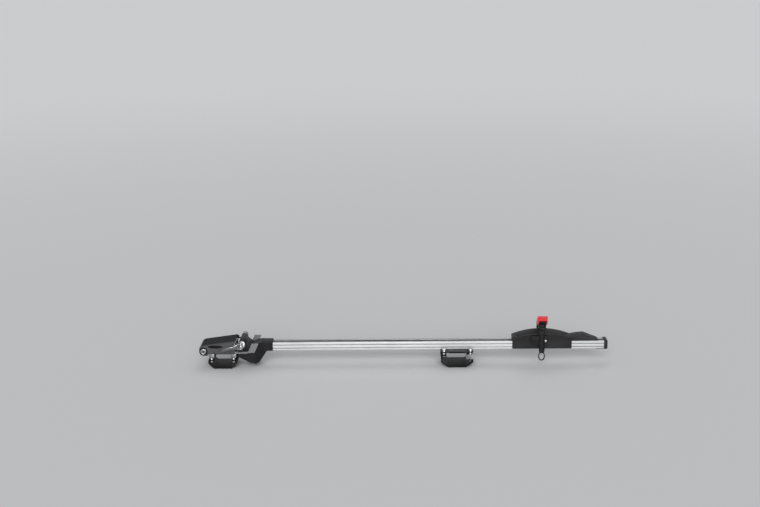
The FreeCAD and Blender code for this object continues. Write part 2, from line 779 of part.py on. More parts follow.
def make_skewer():
    shank = rod("skewer_shank", "y", ("axle_x", "axle_z"), "skewer_radius", f"-{EYE_Y}",
                "fork_half + dropout_gap + thumb_nut_length + 4")
    eye = rod("skewer_eye", "z", ("axle_x", f"-{EYE_Y}"), "eye_radius", "axle_z - eye_half",
              "axle_z + eye_half")
    hole = rod("skewer_eye_hole", "z", ("axle_x", f"-{EYE_Y}"), "skewer_radius + pin_gap",
               "axle_z - eye_half - 1", "axle_z + eye_half + 1")
    keep("skewer_rod", cut("skewer", fuse("skewer_solid", shank, eye), hole))

    disc = rod("saddle_disc", "y", ("axle_x", "axle_z"), "saddle_radius",
               "-(fork_half + dropout_gap + saddle_thickness)", "-(fork_half + dropout_gap)")
    hole = rod("saddle_hole", "y", ("axle_x", "axle_z"), "skewer_radius + pin_gap",
               "-(fork_half + dropout_gap + saddle_thickness + 1)", "-(fork_half + dropout_gap - 1)")
    keep("cam_saddle", cut("saddle", disc, hole))

    keep("lever_pin", rod("lever_pin", "z", ("axle_x", f"-{EYE_Y}"), "skewer_radius",
                          "axle_z - eye_half - slide_gap - cam_thickness - 1",
                          "axle_z + eye_half + slide_gap + cam_thickness + 1"))


def make_lever():
    near, half = f"(-{EYE_Y})", "(eye_half + slide_gap + cam_thickness)"
    discs, arms = [], []
    for word, low, high in (
        ("upper", "axle_z + eye_half + slide_gap", f"axle_z + {half}"),
        ("lower", f"axle_z - {half}", "axle_z - eye_half - slide_gap"),
    ):
        discs.append(rod(f"cam_{word}", "z", ("axle_x", near), "cam_radius", low, high))
        arms.append(box(f"cam_arm_{word}", "axle_x - cam_radius - 8", "axle_x - 2",
                        f"{near} - cam_radius + 1", f"{near} + 3", low, high))
    root = "axle_x - eye_radius - slide_gap"
    plan = prism("lever_plan", "XY_Plane", [
        (root, f"{near} - cam_radius + 1"),
        (root, f"{near} + 3"),
        ("axle_x - lever_length * 0.4", f"{near} + 1"),
        ("axle_x - lever_length", f"{near} + 5"),
        ("axle_x - lever_length - 2", f"{near} + 5 - lever_thickness"),
        ("axle_x - lever_length * 0.5", f"{near} - cam_radius + 1.5"),
    ], f"axle_z - lever_drop - {half}", f"axle_z + {half}")
    round_edges(plan, "2", along(2))
    side = prism("lever_side", "XZ_Plane", [
        (root, f"axle_z + {half}"),
        (root, f"axle_z - {half}"),
        ("axle_x - lever_length * 0.4", "axle_z - lever_width / 2 - lever_drop * 0.35"),
        ("axle_x - lever_length - 3", "axle_z - lever_tip_width / 2 - lever_drop"),
        ("axle_x - lever_length - 3", "axle_z + lever_tip_width / 2 - lever_drop"),
        ("axle_x - lever_length * 0.4", "axle_z + lever_width / 2 - lever_drop * 0.35"),
    ], f"{near} - 20", f"{near} + 20")
    round_edges(side, "3", along(1))
    blade = common("lever_blade", plan, side)
    hole = rod("cam_hole", "z", ("axle_x", near), "skewer_radius + pin_gap", "axle_z - 30", "axle_z + 30")
    keep("skewer_lever", cut("lever", fuse("lever_solid", blade, *discs, *arms), hole))


def make_thumb_nut():
    near, far = "fork_half + dropout_gap", "fork_half + dropout_gap + thumb_nut_length"
    teeth = 12
    corners = []
    for step in range(teeth):
        for shift, radius in ((0, "thumb_nut_radius"), (0.4, "thumb_nut_radius"),
                              (0.5, "(thumb_nut_radius - thumb_nut_notch)"),
                              (0.9, "(thumb_nut_radius - thumb_nut_notch)")):
            angle = 360 / teeth * (step + shift)
            corners.append((f"axle_x + {radius} * cos({angle})", f"axle_z + {radius} * sin({angle})"))
    knob = prism("thumb_nut_knob", "XZ_Plane", corners, f"{near} + 3", far)
    flange = rod("thumb_nut_flange", "y", ("axle_x", "axle_z"), "saddle_radius - 1.5", near, f"{near} + 4")
    hole = rod("thumb_nut_hole", "y", ("axle_x", "axle_z"), "skewer_radius + pin_gap", f"{near} - 1",
               f"{far} + 1")
    keep("skewer_nut", cut("thumb_nut", fuse("thumb_nut_solid", knob, flange), hole))


# Cover over the front foot, its hinge pin and its lock

def make_cover():
    nose = "lock_x - nose_radius"
    step_x = "-(base_front - 1)"
    outer = prism("cover_outer", "XZ_Plane", [
        (nose, "lock_z - nose_radius"),
        (nose, "cover_top_front"),
        ("lock_x + 44", "cover_top_front + (cover_top_rear - cover_top_front) / 2"),
        ("hinge_x + 1", "cover_top_rear"),
        ("hinge_x + 1", "cover_bottom"),
        (step_x, "cover_bottom"),
        (f"{step_x} - 4", "lock_z - nose_radius"),
    ], "-cover_half", "cover_half")
    round_edges(outer, "nose_radius - 1",
                lambda edge: along(1)(edge) and edge.CenterOfMass.x < size("lock_x") - size("nose_radius") + 0.1)
    round_edges(outer, "cover_crown", lambda edge: (
        abs(edge.CenterOfMass.y) > size("cover_half") - 0.1
        and edge.CenterOfMass.z > size("cover_top_front") - 1
        and edge.Length > 20
    ))
    inner = prism("cover_inner", "XZ_Plane", [
        (f"{nose} + cover_wall", "lock_z - nose_radius - 5"),
        (f"{nose} + cover_wall", "cover_top_front - cover_wall"),
        ("lock_x + 44", "cover_top_front + (cover_top_rear - cover_top_front) / 2 - cover_wall"),
        ("hinge_x + 1", "cover_top_rear - cover_wall"),
        ("hinge_x + 20", "cover_top_rear - cover_wall"),
        ("hinge_x + 20", "lock_z - nose_radius - 5"),
    ], "-cover_half + cover_wall", "cover_half - cover_wall")
    round_edges(inner, "nose_radius - 1 - cover_wall",
                lambda edge: along(1)(edge) and edge.CenterOfMass.z > 0
                and edge.CenterOfMass.x < size("lock_x") - size("nose_radius") + size("cover_wall") + 0.1)
    round_edges(inner, "cover_crown / 3", lambda edge: (
        abs(edge.CenterOfMass.y) > size("cover_half") - size("cover_wall") - 0.1
        and edge.CenterOfMass.z > size("cover_top_front") - size("cover_wall") - 1
        and edge.Length > 20
    ))
    shell = cut("cover_shell", outer, inner)
    knuckles = []
    for word, low, high in (
        ("near", "-cover_half", "-cover_half + cover_wall"),
        ("far", "cover_half - cover_wall", "cover_half"),
    ):
        knuckles.append(rod(f"cover_knuckle_{word}", "y", ("hinge_x", "hinge_z"), "knuckle_radius",
                            low, high))
    solid = fuse("cover_solid", shell, *knuckles)
    pin = rod("cover_pin_bore", "y", ("hinge_x", "hinge_z"), "hinge_radius + pin_gap", "-cover_half - 1",
              "cover_half + 1")
    lock = rod("cover_lock_bore", "y", ("lock_x", "lock_z"), "lock_tube_radius + pin_gap",
               "-cover_half - 1", "-cover_half + cover_wall + 8")
    keep("head_cover", cut("cover", solid, pin, lock))

    keep("cover_hinge_pin", rod("cover_hinge_pin", "y", ("hinge_x", "hinge_z"), "hinge_radius",
                                "-cover_half - 0.5", "cover_half + 0.5"))


def make_lock():
    ring = rod("lock_ring", "y", ("lock_x", "lock_z"), "lock_ring_radius", "-cover_half - lock_ring_proud",
               "-cover_half")
    tube = rod("lock_tube", "y", ("lock_x", "lock_z"), "lock_tube_radius",
               "-cover_half - 1", "-cover_half + lock_depth - 1")
    hole = rod("lock_tube_hole", "y", ("lock_x", "lock_z"), "lock_radius + pin_gap",
               "-cover_half - lock_ring_proud - 1", "-cover_half + lock_depth")
    keep("lock_housing", cut("lock_case", fuse("lock_case_solid", ring, tube), hole))

    face = "-cover_half - lock_ring_proud - 0.8"
    back = "(-cover_half + lock_depth)"
    barrel = rod("lock_barrel", "y", ("lock_x", "lock_z"), "lock_radius", face, back)
    slot = box("lock_key_slot", "lock_x - key_width / 2", "lock_x + key_width / 2", f"{face} - 1",
               f"{face} + 8",
               "lock_z - key_height / 2", "lock_z + key_height / 2")
    keep("lock_cylinder", cut("lock_core", barrel, slot))
    keep("lock_tongue", fuse(
        "lock_tongue_group",
        rod("lock_tongue_hub", "y", ("lock_x", "lock_z"), "tongue_width", back, f"{back} + 3"),
        box("lock_tongue_bar", "lock_x - tongue_width / 2", "lock_x + tongue_width / 2", back,
            f"{back} + 3",
            "lock_z - tongue_reach", "lock_z")))

    inner = f"({back} + 6)"
    lip_low = "lock_z + tongue_width / 2 + 0.5"
    keep("lock_striker", fuse(
        "striker_group",
        box("striker_lip", "lock_x + 8", "-base_front + 8", f"{back} + 0.4", f"{inner} + 3", lip_low,
            f"{lip_low} + 3"),
        box("striker_web", "lock_x + 8", "-base_front + 8", inner, f"{inner} + 3", BASE_TOP,
            f"{lip_low} + 3"),
        box("striker_foot", "-base_front", "-base_front + 8", inner, f"{inner} + 14", BASE_TOP,
            f"{BASE_TOP} + 2.5")))


# Wheel tray: moulded trough with skirts over the rail and a ramp at each end

def make_tray():
    section = mirrored([
        (SKIRT_IN, FLOOR_LOW),
        (SKIRT_IN, "tray_skirt_bottom"),
        (SKIRT_OUT, "tray_skirt_bottom"),
        (SKIRT_OUT, FLOOR_LOW),
        ("tray_mouth_half", "tray_arch_top"),
        ("tray_mouth_half - tray_wall", "tray_arch_top"),
        (f"{SKIRT_OUT} - 2.4", FLOOR_TOP),
    ])
    trough = prism("tray_section", "YZ_Plane", section, "tray_centre - tray_half_length - 6",
                   "tray_centre + tray_half_length + 6")
    ends = prism("tray_ends", "XZ_Plane", [
        ("tray_centre - tray_half_length - 0.5", "tray_skirt_bottom"),
        ("tray_centre - tray_half_length", "tray_arch_top - tray_arch_rise"),
        ("tray_centre - tray_half_length", "tray_arch_top + 1"),
        ("tray_centre + tray_half_length", "tray_arch_top + 1"),
        ("tray_centre + tray_half_length", "tray_arch_top - tray_arch_rise"),
        ("tray_centre + tray_half_length + 1.5", "tray_skirt_bottom"),
    ], "-40", "40")
    arch_radius = "((tray_half_length ^ 2 + tray_arch_rise ^ 2) / (2 * tray_arch_rise))"
    arch = rod("tray_arch", "y", ("tray_centre", f"tray_arch_top - {arch_radius}"), arch_radius,
               "-40", "40")
    trough = common("tray_trough", trough, ends, arch)
    front_end = "(wheel_x - tray_centre + tray_half_length - 1)"
    front = [
        ("ramp_start", f"{FLOOR_TOP} + 2"),
        (front_end, f"{FLOOR_TOP} + front_ramp_height"),
        (front_end, FLOOR_LOW),
        ("ramp_start", FLOOR_LOW),
    ]
    front_hollow = [
        ("ramp_start + 16", f"{FLOOR_LOW} + 2.6"),
        (f"{front_end} - tray_wall", f"{FLOOR_TOP} + front_ramp_height - 4"),
        (f"{front_end} - tray_wall", f"{FLOOR_LOW} - 1"),
        ("ramp_start + 16", f"{FLOOR_LOW} - 1"),
    ]
    rear = [
        ("ramp_start", FLOOR_LOW),
        ("ramp_start", f"{FLOOR_TOP} + 2"),
        ("ramp_crest - 53", f"{FLOOR_TOP} + ramp_crest_height - 7.5"),
        ("ramp_crest - 25", f"{FLOOR_TOP} + ramp_crest_height - 2"),
        ("ramp_crest", f"{FLOOR_TOP} + ramp_crest_height"),
        ("ramp_reach", f"{FLOOR_TOP} - 0.3"),
        ("ramp_reach", FLOOR_LOW),
    ]
    rear_hollow = [
        ("ramp_crest - 50", f"{FLOOR_LOW} - 1"),
        ("ramp_crest - 50", f"{FLOOR_TOP} + ramp_crest_height - 11"),
        ("ramp_crest - 25", f"{FLOOR_TOP} + ramp_crest_height - 5"),
        ("ramp_crest - 1", f"{FLOOR_TOP} + ramp_crest_height - 3.2"),
        ("ramp_reach - 10", f"{FLOOR_LOW} + 1"),
        ("ramp_reach - 10", f"{FLOOR_LOW} - 1"),
    ]
    body = fuse("tray_solid", trough, ramp("ramp_front", "-1", front, "ramp_half_width"),
                ramp("ramp_rear", "1", rear, "ramp_half_width"))
    hollow_half = "ramp_half_width - tray_wall"
    holes = [
        rod(f"tray_screw_hole_{count}", "z", (x, "0"), "screw_radius + pin_gap", f"{FLOOR_LOW} - 1",
            f"{FLOOR_TOP} + 9")
        for count, x in enumerate(tray_screw_places())
    ]
    holes += [
        rod(f"tray_screw_sink_{count}", "z", (x, "0"), "screw_radius * 1.8", f"{FLOOR_TOP} - 1.2",
            f"{FLOOR_TOP} + 9")
        for count, x in enumerate(tray_screw_places())
    ]
    holes.append(ramp("hollow_front", "-1", front_hollow, hollow_half))
    holes.append(ramp("hollow_rear", "1", rear_hollow, hollow_half))
    keep("wheel_tray", cut("tray", body, *holes))


def ramp(name, sign, corners, half):
    """Block on the rail's top, its corners measured from the wheel's middle towards one end."""
    placed = [(f"wheel_x + {sign} * ({x})", z) for x, z in corners]
    return prism(name, "XZ_Plane", placed, f"-({half})", half)


def tray_screw_places():
    return ["wheel_x - slide_plate_offset", "wheel_x + slide_plate_offset"]


def make_tray_slides():
    wide = "(rail_width / 2 - rail_wall - slide_gap)"
    neck = "(slot_width / 2 - slide_gap)"
    high = f"({RAIL_TOP} - lip_thickness - slide_gap)"
    plates, screws = [], []
    for count, x in enumerate(tray_screw_places()):
        tee = prism(f"tray_tee_{count}", "YZ_Plane", mirrored([
            (neck, FLOOR_LOW),
            (neck, high),
            (wide, high),
            (wide, f"{high} - slide_plate_height"),
        ]), f"{x} - slide_plate_length / 2", f"{x} + slide_plate_length / 2")
        hole = rod(f"tray_tee_hole_{count}", "z", (x, "0"), "screw_radius + pin_gap",
                   f"{high} - slide_plate_height - 1", f"{FLOOR_LOW} + 1")
        plates.append(cut(f"tray_tee_bored_{count}", tee, hole))
        screws.append(rod(f"tray_screw_{count}", "z", (x, "0"), "screw_radius",
                          f"{high} - slide_plate_height", f"{FLOOR_TOP} - 0.5"))
        screws.append(rod(f"tray_screw_head_{count}", "z", (x, "0"), "screw_radius * 1.7",
                          f"{FLOOR_TOP} - 1.2", f"{FLOOR_TOP} + 0.8"))
    keep("tray_slide_plates", fuse("tray_slide_group", *plates))
    keep("tray_screws", fuse("tray_screw_group", *screws))


def make_anchors():
    wall_slope = f"((tray_mouth_half - {SKIRT_OUT}) / (tray_arch_top - {FLOOR_LOW}))"
    wall_at_top = f"({SKIRT_OUT} + (anchor_top - {FLOOR_LOW}) * {wall_slope})"
    for word, sign in (("near", "-1"), ("far", "1")):
        section = [(f"{sign} * ({y})", z) for y, z in (
            (SKIRT_OUT, "anchor_bottom"),
            (f"{SKIRT_OUT} + 8", "anchor_bottom"),
            ("anchor_face", "anchor_bottom + 9"),
            ("anchor_face", "anchor_top"),
            (wall_at_top, "anchor_top"),
            (SKIRT_OUT, FLOOR_LOW),
        )]
        block = prism(f"anchor_block_{word}", "YZ_Plane", section,
                      "strap_x - anchor_half_length - 9", "strap_x + anchor_half_length - 9")
        taper_side = prism(f"anchor_taper_{word}", "XZ_Plane", [
            ("strap_x - anchor_half_length - 10", "anchor_bottom + 14"),
            ("strap_x - anchor_half_length - 10", "anchor_top + 1"),
            ("strap_x + anchor_half_length - 8", "anchor_top + 1"),
            ("strap_x + anchor_half_length - 8", "anchor_bottom + 14"),
            ("strap_x + anchor_half_length - 22", "anchor_bottom - 1"),
            ("strap_x - anchor_half_length + 4", "anchor_bottom - 1"),
        ], "-60", "60")
        body = common(f"anchor_body_{word}", block, taper_side)
        y_in = "(strap_side - strap_eye_radius - fit_gap)"
        y_out = "(strap_side + strap_eye_radius + fit_gap)"
        low, high = (f"-{y_out}", f"-{y_in}") if word == "near" else (y_in, y_out)
        slot = box(f"anchor_slot_{word}", "strap_x - strap_width / 2 - 0.3",
                   "strap_x + strap_width / 2 + 0.3",
                   low, high, "anchor_top - 9 - strap_eye_radius - fit_gap", "anchor_top + 1")
        pin_hole = rod(f"anchor_pin_hole_{word}", "x", (f"{sign} * strap_side", "anchor_top - 9"),
                       "anchor_pin_radius + pin_gap", "strap_x - 40", "strap_x + 40")
        screw_hole = rod(f"anchor_screw_hole_{word}", "y",
                         ("strap_x + anchor_half_length - 14", "anchor_bottom + 18"),
                         "screw_radius - 1 + pin_gap", "-60", "60")
        keep(f"strap_anchor_{word}", cut(f"anchor_{word}", body, slot, pin_hole, screw_hole))
        keep(f"anchor_pin_{word}",
             rod(f"anchor_pin_{word}", "x", (f"{sign} * strap_side", "anchor_top - 9"),
                                       "anchor_pin_radius", "strap_x - anchor_half_length - 8.5",
                                       "strap_x + anchor_half_length - 9.5"))
        face = f"{sign} * anchor_face"
        proud = f"{sign} * (anchor_face + 2.5)"
        inside = f"{sign} * (anchor_face - 7)"
        shank = (f"{proud} + 1", inside) if word == "near" else (inside, f"{proud} - 1")
        head = (proud, face) if word == "near" else (face, proud)
        keep(f"anchor_screw_{word}", fuse(
            f"anchor_screw_group_{word}",
            rod(f"anchor_screw_shank_{word}", "y",
                ("strap_x + anchor_half_length - 14", "anchor_bottom + 18"),
                "screw_radius - 1", *shank),
            rod(f"anchor_screw_head_{word}", "y",
                ("strap_x + anchor_half_length - 14", "anchor_bottom + 18"),
                "screw_radius * 1.4", *head)))


# Strap: a ladder strap over the rim, with its tail through the buckle on the near side

def rounded_path(points, radii):
    """Wire of straight runs joined by tangent arcs, in the plane X = strap_x."""
    x = size("strap_x")
    corners = [FreeCAD.Vector(x, y, z) for y, z in points]
    edges = []
    start = corners[0]
    for before, corner, after, radius in zip(corners, corners[1:], corners[2:], radii):
        inward, outward = (before - corner).normalize(), (after - corner).normalize()
        half_angle = inward.getAngle(outward) / 2
        reach = radius / math.tan(half_angle)
        first, last = corner + inward * reach, corner + outward * reach
        middle = corner + (inward + outward).normalize() * (radius / math.sin(half_angle) - radius)
        edges.append(Part.LineSegment(start, first).toShape())
        edges.append(Part.Arc(first, middle, last).toShape())
        start = last
    edges.append(Part.LineSegment(start, corners[-1]).toShape())
    return Part.Wire(edges)


def band(path, width, thickness):
    """Flat band of a width and thickness along a wire in the plane X = strap_x."""
    start = path.Edges[0].firstVertex().Point
    direction = (path.Edges[0].lastVertex().Point - start).normalize()
    side = FreeCAD.Vector(width / 2, 0, 0)
    face = FreeCAD.Vector(1, 0, 0).cross(direction) * (thickness / 2)
    corners = [start + side + face, start - side + face, start - side - face, start + side - face]
    return path.makePipeShell([Part.makePolygon(corners + corners[:1])], True, True)


def part_feature(label, shape):
    item = doc.addObject("Part::Feature", f"{label}_shape")
    item.Shape = shape
    return keep(label, item)


def make_straps():
    side, tail = size("strap_side"), size("strap_tail_y")
    rim, anchor = size("rim_edge_z"), size("anchor_top") - 9
    width, thickness = size("strap_width"), size("strap_thickness")
    bottom, buckle_top = size("buckle_bottom"), size("buckle_top")
    tail_end = size("tail_end")
    path = rounded_path(
        [(side, anchor), (side, rim - 20), (22, rim - 3), (10, rim + 1.5), (-12, rim + 1.5),
         (-23, buckle_top + 3), (-side, buckle_top), (-side, bottom + 4), (-tail, bottom - 12), (-tail, tail_end)],
        [14, 14, 14, 14, 7, 7, 12, 12],
    )
    solid = band(path, width, thickness)
    x, half = size("strap_x"), size("tooth_width") / 2
    pitch, rise = size("tooth_pitch"), size("tooth_height")
    outer = -tail - thickness / 2
    teeth = []
    for step in range(int((bottom - 16 - tail_end) // pitch)):
        z = tail_end + pitch * (step + 0.6)
        corners = [(outer + 0.2, z), (outer - rise, z), (outer + 0.2, z + pitch * 0.8)]
        loop = [FreeCAD.Vector(x - half, y, height) for y, height in corners + corners[:1]]
        teeth.append(Part.Face(Part.makePolygon(loop)).extrude(FreeCAD.Vector(2 * half, 0, 0)))
    loop_half, wire, length = size("loop_width") / 2, size("loop_wire"), size("loop_length")
    ring = Part.Face(finger_loop(x, tail_end, width / 2, loop_half, length, 0))
    hole = Part.Face(finger_loop(x, tail_end - 5, loop_half - wire, loop_half - wire, length - 5 - wire, 0))
    ring = ring.cut(hole).extrude(FreeCAD.Vector(0, thickness, 0))
    ring.translate(FreeCAD.Vector(0, -tail - thickness / 2, 0))
    eye, pin = strap_eye(side, anchor, width)
    part_feature("ladder_strap", solid.fuse(teeth + [ring, eye]).removeSplitter().cut(pin))

    inner = side - thickness - size("slide_gap") - size("buckle_wall")
    bend = size("strap_bend")
    path = rounded_path([(-inner, bottom + 17), (-inner, bottom + 2.5), (-side, bottom - 3),
                         (-side, anchor)],
                        [bend, bend])
    eye, pin = strap_eye(-side, anchor, width)
    strap = band(path, width, thickness).fuse(eye).removeSplitter()
    rivets = [
        Part.makeCylinder(size("rivet_radius") + size("pin_gap"), 2 * thickness,
                          FreeCAD.Vector(place, -inner - thickness, bottom + size("rivet_height")),
                          FreeCAD.Vector(0, 1, 0))
        for place in (x - size("rivet_offset"), x + size("rivet_offset"))
    ]
    part_feature("buckle_strap", strap.cut([pin] + rivets))


def strap_eye(y, z, width):
    """Moulded eye at a strap's end and the bore for its anchor pin."""
    start = FreeCAD.Vector(size("strap_x") - width / 2, y, z)
    across = FreeCAD.Vector(1, 0, 0)
    eye = Part.makeCylinder(size("strap_eye_radius"), width, start, across)
    return eye, Part.makeCylinder(size("anchor_pin_radius") + size("pin_gap"), width, start, across)


def finger_loop(x, top, top_half, half, length, y):
    """Outline of the pull loop: straight shoulders and a round end, seen from the side."""
    shoulder = top - half
    low = top - length + half
    points = [FreeCAD.Vector(x - top_half, y, top), FreeCAD.Vector(x + top_half, y, top),
              FreeCAD.Vector(x + half, y, shoulder), FreeCAD.Vector(x + half, y, low)]
    end = [FreeCAD.Vector(x, y, low - half), FreeCAD.Vector(x - half, y, low)]
    corner = FreeCAD.Vector(x - half, y, shoulder)
    edges = [Part.LineSegment(first, last).toShape() for first, last in zip(points, points[1:])]
    edges.append(Part.Arc(points[-1], *end).toShape())
    edges.append(Part.LineSegment(end[1], corner).toShape())
    edges.append(Part.LineSegment(corner, points[0]).toShape())
    return Part.Wire(edges)


# Ratchet buckle on the near side

def make_buckle():
    inner_x = "(strap_width / 2 + slide_gap)"
    outer_x = f"({inner_x} + buckle_wall)"
    back = "(strap_side - strap_thickness / 2 - slide_gap)"
    plate = box("buckle_back", f"strap_x - {outer_x}", f"strap_x + {outer_x}", f"-{back}",
                f"-{back} + buckle_wall",
                "buckle_bottom + 5", "buckle_top - 8")
    walls = []
    for word, low, high in (
        ("left", f"strap_x - {outer_x}", f"strap_x - {inner_x}"),
        ("right", f"strap_x + {inner_x}", f"strap_x + {outer_x}"),
    ):
        walls.append(prism(f"buckle_wall_{word}", "YZ_Plane", [
            (f"-{back} + buckle_wall", "buckle_bottom + 5"),
            (f"-{back}", "buckle_bottom"),
            ("-buckle_face + 3", "buckle_bottom"),
            ("-buckle_face", "buckle_bottom + 6"),
            ("-buckle_face - 1", "ratchet_z + 2"),
            ("-buckle_face + 3", "ratchet_z + 7"),
            (f"-{back} + buckle_wall", "buckle_top - 8"),
        ], low, high))
    body = fuse("buckle_solid", plate, *walls)
    holes = [
        rod(f"buckle_rivet_hole_{word}", "y",
            (f"strap_x {sign} rivet_offset", "buckle_bottom + rivet_height"),
            "rivet_radius + pin_gap", f"-{back} - 1", f"-{back} + buckle_wall + 1")
        for word, sign in (("left", "-"), ("right", "+"))
    ]
    holes += [
        rod("buckle_ratchet_hole", "x", ("-ratchet_y", "ratchet_z"), "skewer_radius + pin_gap",
            "strap_x - 30", "strap_x + 30"),
        rod("buckle_pawl_hole", "x", ("-ratchet_y", "pawl_z"), "anchor_pin_radius + pin_gap",
            "strap_x - 30", "strap_x + 30"),
    ]
    keep("buckle_body", cut("buckle", body, *holes))

    rivets = []
    strap_back = f"(-{back} + buckle_wall + strap_thickness)"
    for word, sign in (("left", "-"), ("right", "+")):
        place = (f"strap_x {sign} rivet_offset", "buckle_bottom + rivet_height")
        rivets.append(rod(f"rivet_shank_{word}", "y", place, "rivet_radius", f"-{back}",
                          f"{strap_back} + 0.5"))
        rivets.append(rod(f"rivet_head_{word}", "y", place, "rivet_radius * 1.9", strap_back,
                          f"{strap_back} + 1.2"))
    keep("buckle_rivets", fuse("buckle_rivet_group", *rivets))

    arm_out = f"({outer_x} + slide_gap + handle_wall)"
    keep("ratchet_pin", rod("ratchet_pin", "x", ("-ratchet_y", "ratchet_z"), "skewer_radius",
                            f"strap_x - {arm_out}", f"strap_x + {arm_out}"))
    keep("pawl_pin", rod("pawl_pin", "x", ("-ratchet_y", "pawl_z"), "anchor_pin_radius",
                         f"strap_x - {outer_x}", f"strap_x + {outer_x}"))

    arms = []
    arm_in = f"({outer_x} + slide_gap)"
    for word, low, high in (
        ("left", f"strap_x - {arm_out}", f"strap_x - {arm_in}"),
        ("right", f"strap_x + {arm_in}", f"strap_x + {arm_out}"),
    ):
        arm = prism(f"handle_arm_{word}", "YZ_Plane", [
            ("-handle_face + 2", "handle_foot + 4"),
            ("-handle_face", "handle_foot + 12"),
            ("-handle_face", "handle_top - 2"),
            ("-handle_face + 6.5", "handle_top"),
            ("-ratchet_y + 5", "ratchet_z + 5"),
            ("-ratchet_y + 5", "handle_foot"),
            ("-ratchet_y - 4", "handle_foot"),
        ], low, high)
        arms.append(arm)
    bar = prism("handle_bar_body", "YZ_Plane", [
        ("-handle_face", "handle_top - handle_bar"),
        ("-handle_face", "handle_top - 2"),
        ("-handle_face + 2", "handle_top"),
        ("-handle_face + 6.5", "handle_top"),
        ("-handle_face + 6.5", "handle_top - handle_bar"),
    ], f"strap_x - {arm_out}", f"strap_x + {arm_out}")
    pin_hole = rod("handle_pin_hole", "x", ("-ratchet_y", "ratchet_z"), "skewer_radius + pin_gap",
                   "strap_x - 40", "strap_x + 40")
    keep("ratchet_lever", cut("handle", fuse("handle_solid", bar, *arms), pin_hole))

    hub_x = f"({inner_x} - slide_gap)"
    finger_tip = "-(strap_side + strap_thickness / 2 + 0.6)"
    drive = fuse(
        "drive_solid",
        rod("drive_hub", "x", ("-ratchet_y", "ratchet_z"), "hub_radius", f"strap_x - {hub_x}",
            f"strap_x + {hub_x}"),
        prism("drive_finger", "YZ_Plane", [
            ("-ratchet_y - 1", "ratchet_z"),
            ("-ratchet_y + 1.5", "ratchet_z + 9"),
            (finger_tip, "ratchet_z + 9"),
            ("-ratchet_y + 3.5", "ratchet_z"),
        ], f"strap_x - {hub_x} + 2", f"strap_x + {hub_x} - 2"))
    keep("drive_pawl", cut("drive", drive, rod(
        "drive_hole", "x", ("-ratchet_y", "ratchet_z"), "skewer_radius + pin_gap", "strap_x - 30",
        "strap_x + 30")))
    hold = fuse(
        "hold_solid",
        rod("hold_hub", "x", ("-ratchet_y", "pawl_z"), "pawl_hub_radius", f"strap_x - {hub_x}",
            f"strap_x + {hub_x}"),
        prism("hold_finger", "YZ_Plane", [
            ("-ratchet_y - 1", "pawl_z"),
            ("-ratchet_y + 1", "pawl_z + 7"),
            (finger_tip, "pawl_z + 7"),
            ("-ratchet_y + 2.5", "pawl_z"),
        ], f"strap_x - {hub_x} + 2", f"strap_x + {hub_x} - 2"),
        prism("hold_tab", "YZ_Plane", [
            ("-ratchet_y - 1", "pawl_z + 2.8"),
            ("-ratchet_y - 8", "pawl_z + 1"),
            ("-ratchet_y - 9.5", "pawl_z - 7"),
            ("-ratchet_y - 7", "pawl_z - 7"),
            ("-ratchet_y - 5", "pawl_z - 2"),
            ("-ratchet_y", "pawl_z - 2.5"),
        ], f"strap_x - {hub_x} + 1", f"strap_x + {hub_x} - 1"))
    keep("holding_pawl", cut("hold", hold, rod(
        "hold_hole", "x", ("-ratchet_y", "pawl_z"), "anchor_pin_radius + pin_gap", "strap_x - 30",
        "strap_x + 30")))


def check_model():
    """Stop if any object failed or any sub-part is empty or not valid."""
    doc.recompute()
    for item in doc.Objects:
        if "Invalid" in item.State or "Error" in item.State:
            raise RuntimeError(f"{item.Label} failed: {item.State}")
    for label, item in PARTS.items():
        if item.Shape.isNull() or not item.Shape.isValid() or not item.Shape.Solids:
            raise RuntimeError(f"{label} has no valid solid")


def write_parts():
    os.makedirs("parts", exist_ok=True)
    for label, item in PARTS.items():
        item.Shape.exportStep(f"parts/{label}.step")
        bounds = item.Shape.BoundBox
        print(f"{label:24s} solids {len(item.Shape.Solids)}  X {bounds.XMin:8.1f} {bounds.XMax:8.1f}"
              f"  Y {bounds.YMin:7.1f} {bounds.YMax:7.1f}  Z {bounds.ZMin:7.1f} {bounds.ZMax:7.1f}")


make_rail()
make_end_cap()
make_head()
make_head_trim()
make_head_fasteners()
make_front_foot()
make_rear_foot()
make_skewer()
make_lever()
make_thumb_nut()
make_cover()
make_lock()
make_tray()
make_tray_slides()
make_anchors()
make_straps()
make_buckle()
check_model()
write_parts()
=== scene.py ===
import json

import bmesh
import bpy
import numpy as np
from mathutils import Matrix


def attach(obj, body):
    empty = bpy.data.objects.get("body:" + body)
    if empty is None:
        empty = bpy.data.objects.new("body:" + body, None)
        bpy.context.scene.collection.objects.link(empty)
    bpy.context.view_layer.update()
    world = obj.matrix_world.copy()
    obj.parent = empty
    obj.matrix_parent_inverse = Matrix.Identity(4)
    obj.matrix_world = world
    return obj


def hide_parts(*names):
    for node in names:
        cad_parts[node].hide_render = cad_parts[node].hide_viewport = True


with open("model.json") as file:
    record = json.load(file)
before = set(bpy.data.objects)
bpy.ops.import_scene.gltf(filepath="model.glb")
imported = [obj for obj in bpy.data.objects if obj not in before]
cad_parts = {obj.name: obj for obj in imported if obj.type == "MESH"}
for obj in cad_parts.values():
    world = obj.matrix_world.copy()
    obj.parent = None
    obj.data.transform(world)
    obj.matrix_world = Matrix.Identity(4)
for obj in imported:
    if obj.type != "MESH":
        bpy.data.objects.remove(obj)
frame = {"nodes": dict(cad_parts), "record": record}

# Looks of a fork mount bike carrier. Metres, +Z up, +X from the head to the tray.
# Lengths of the pieces are written in millimetres and divided by MM where a mesh is made.

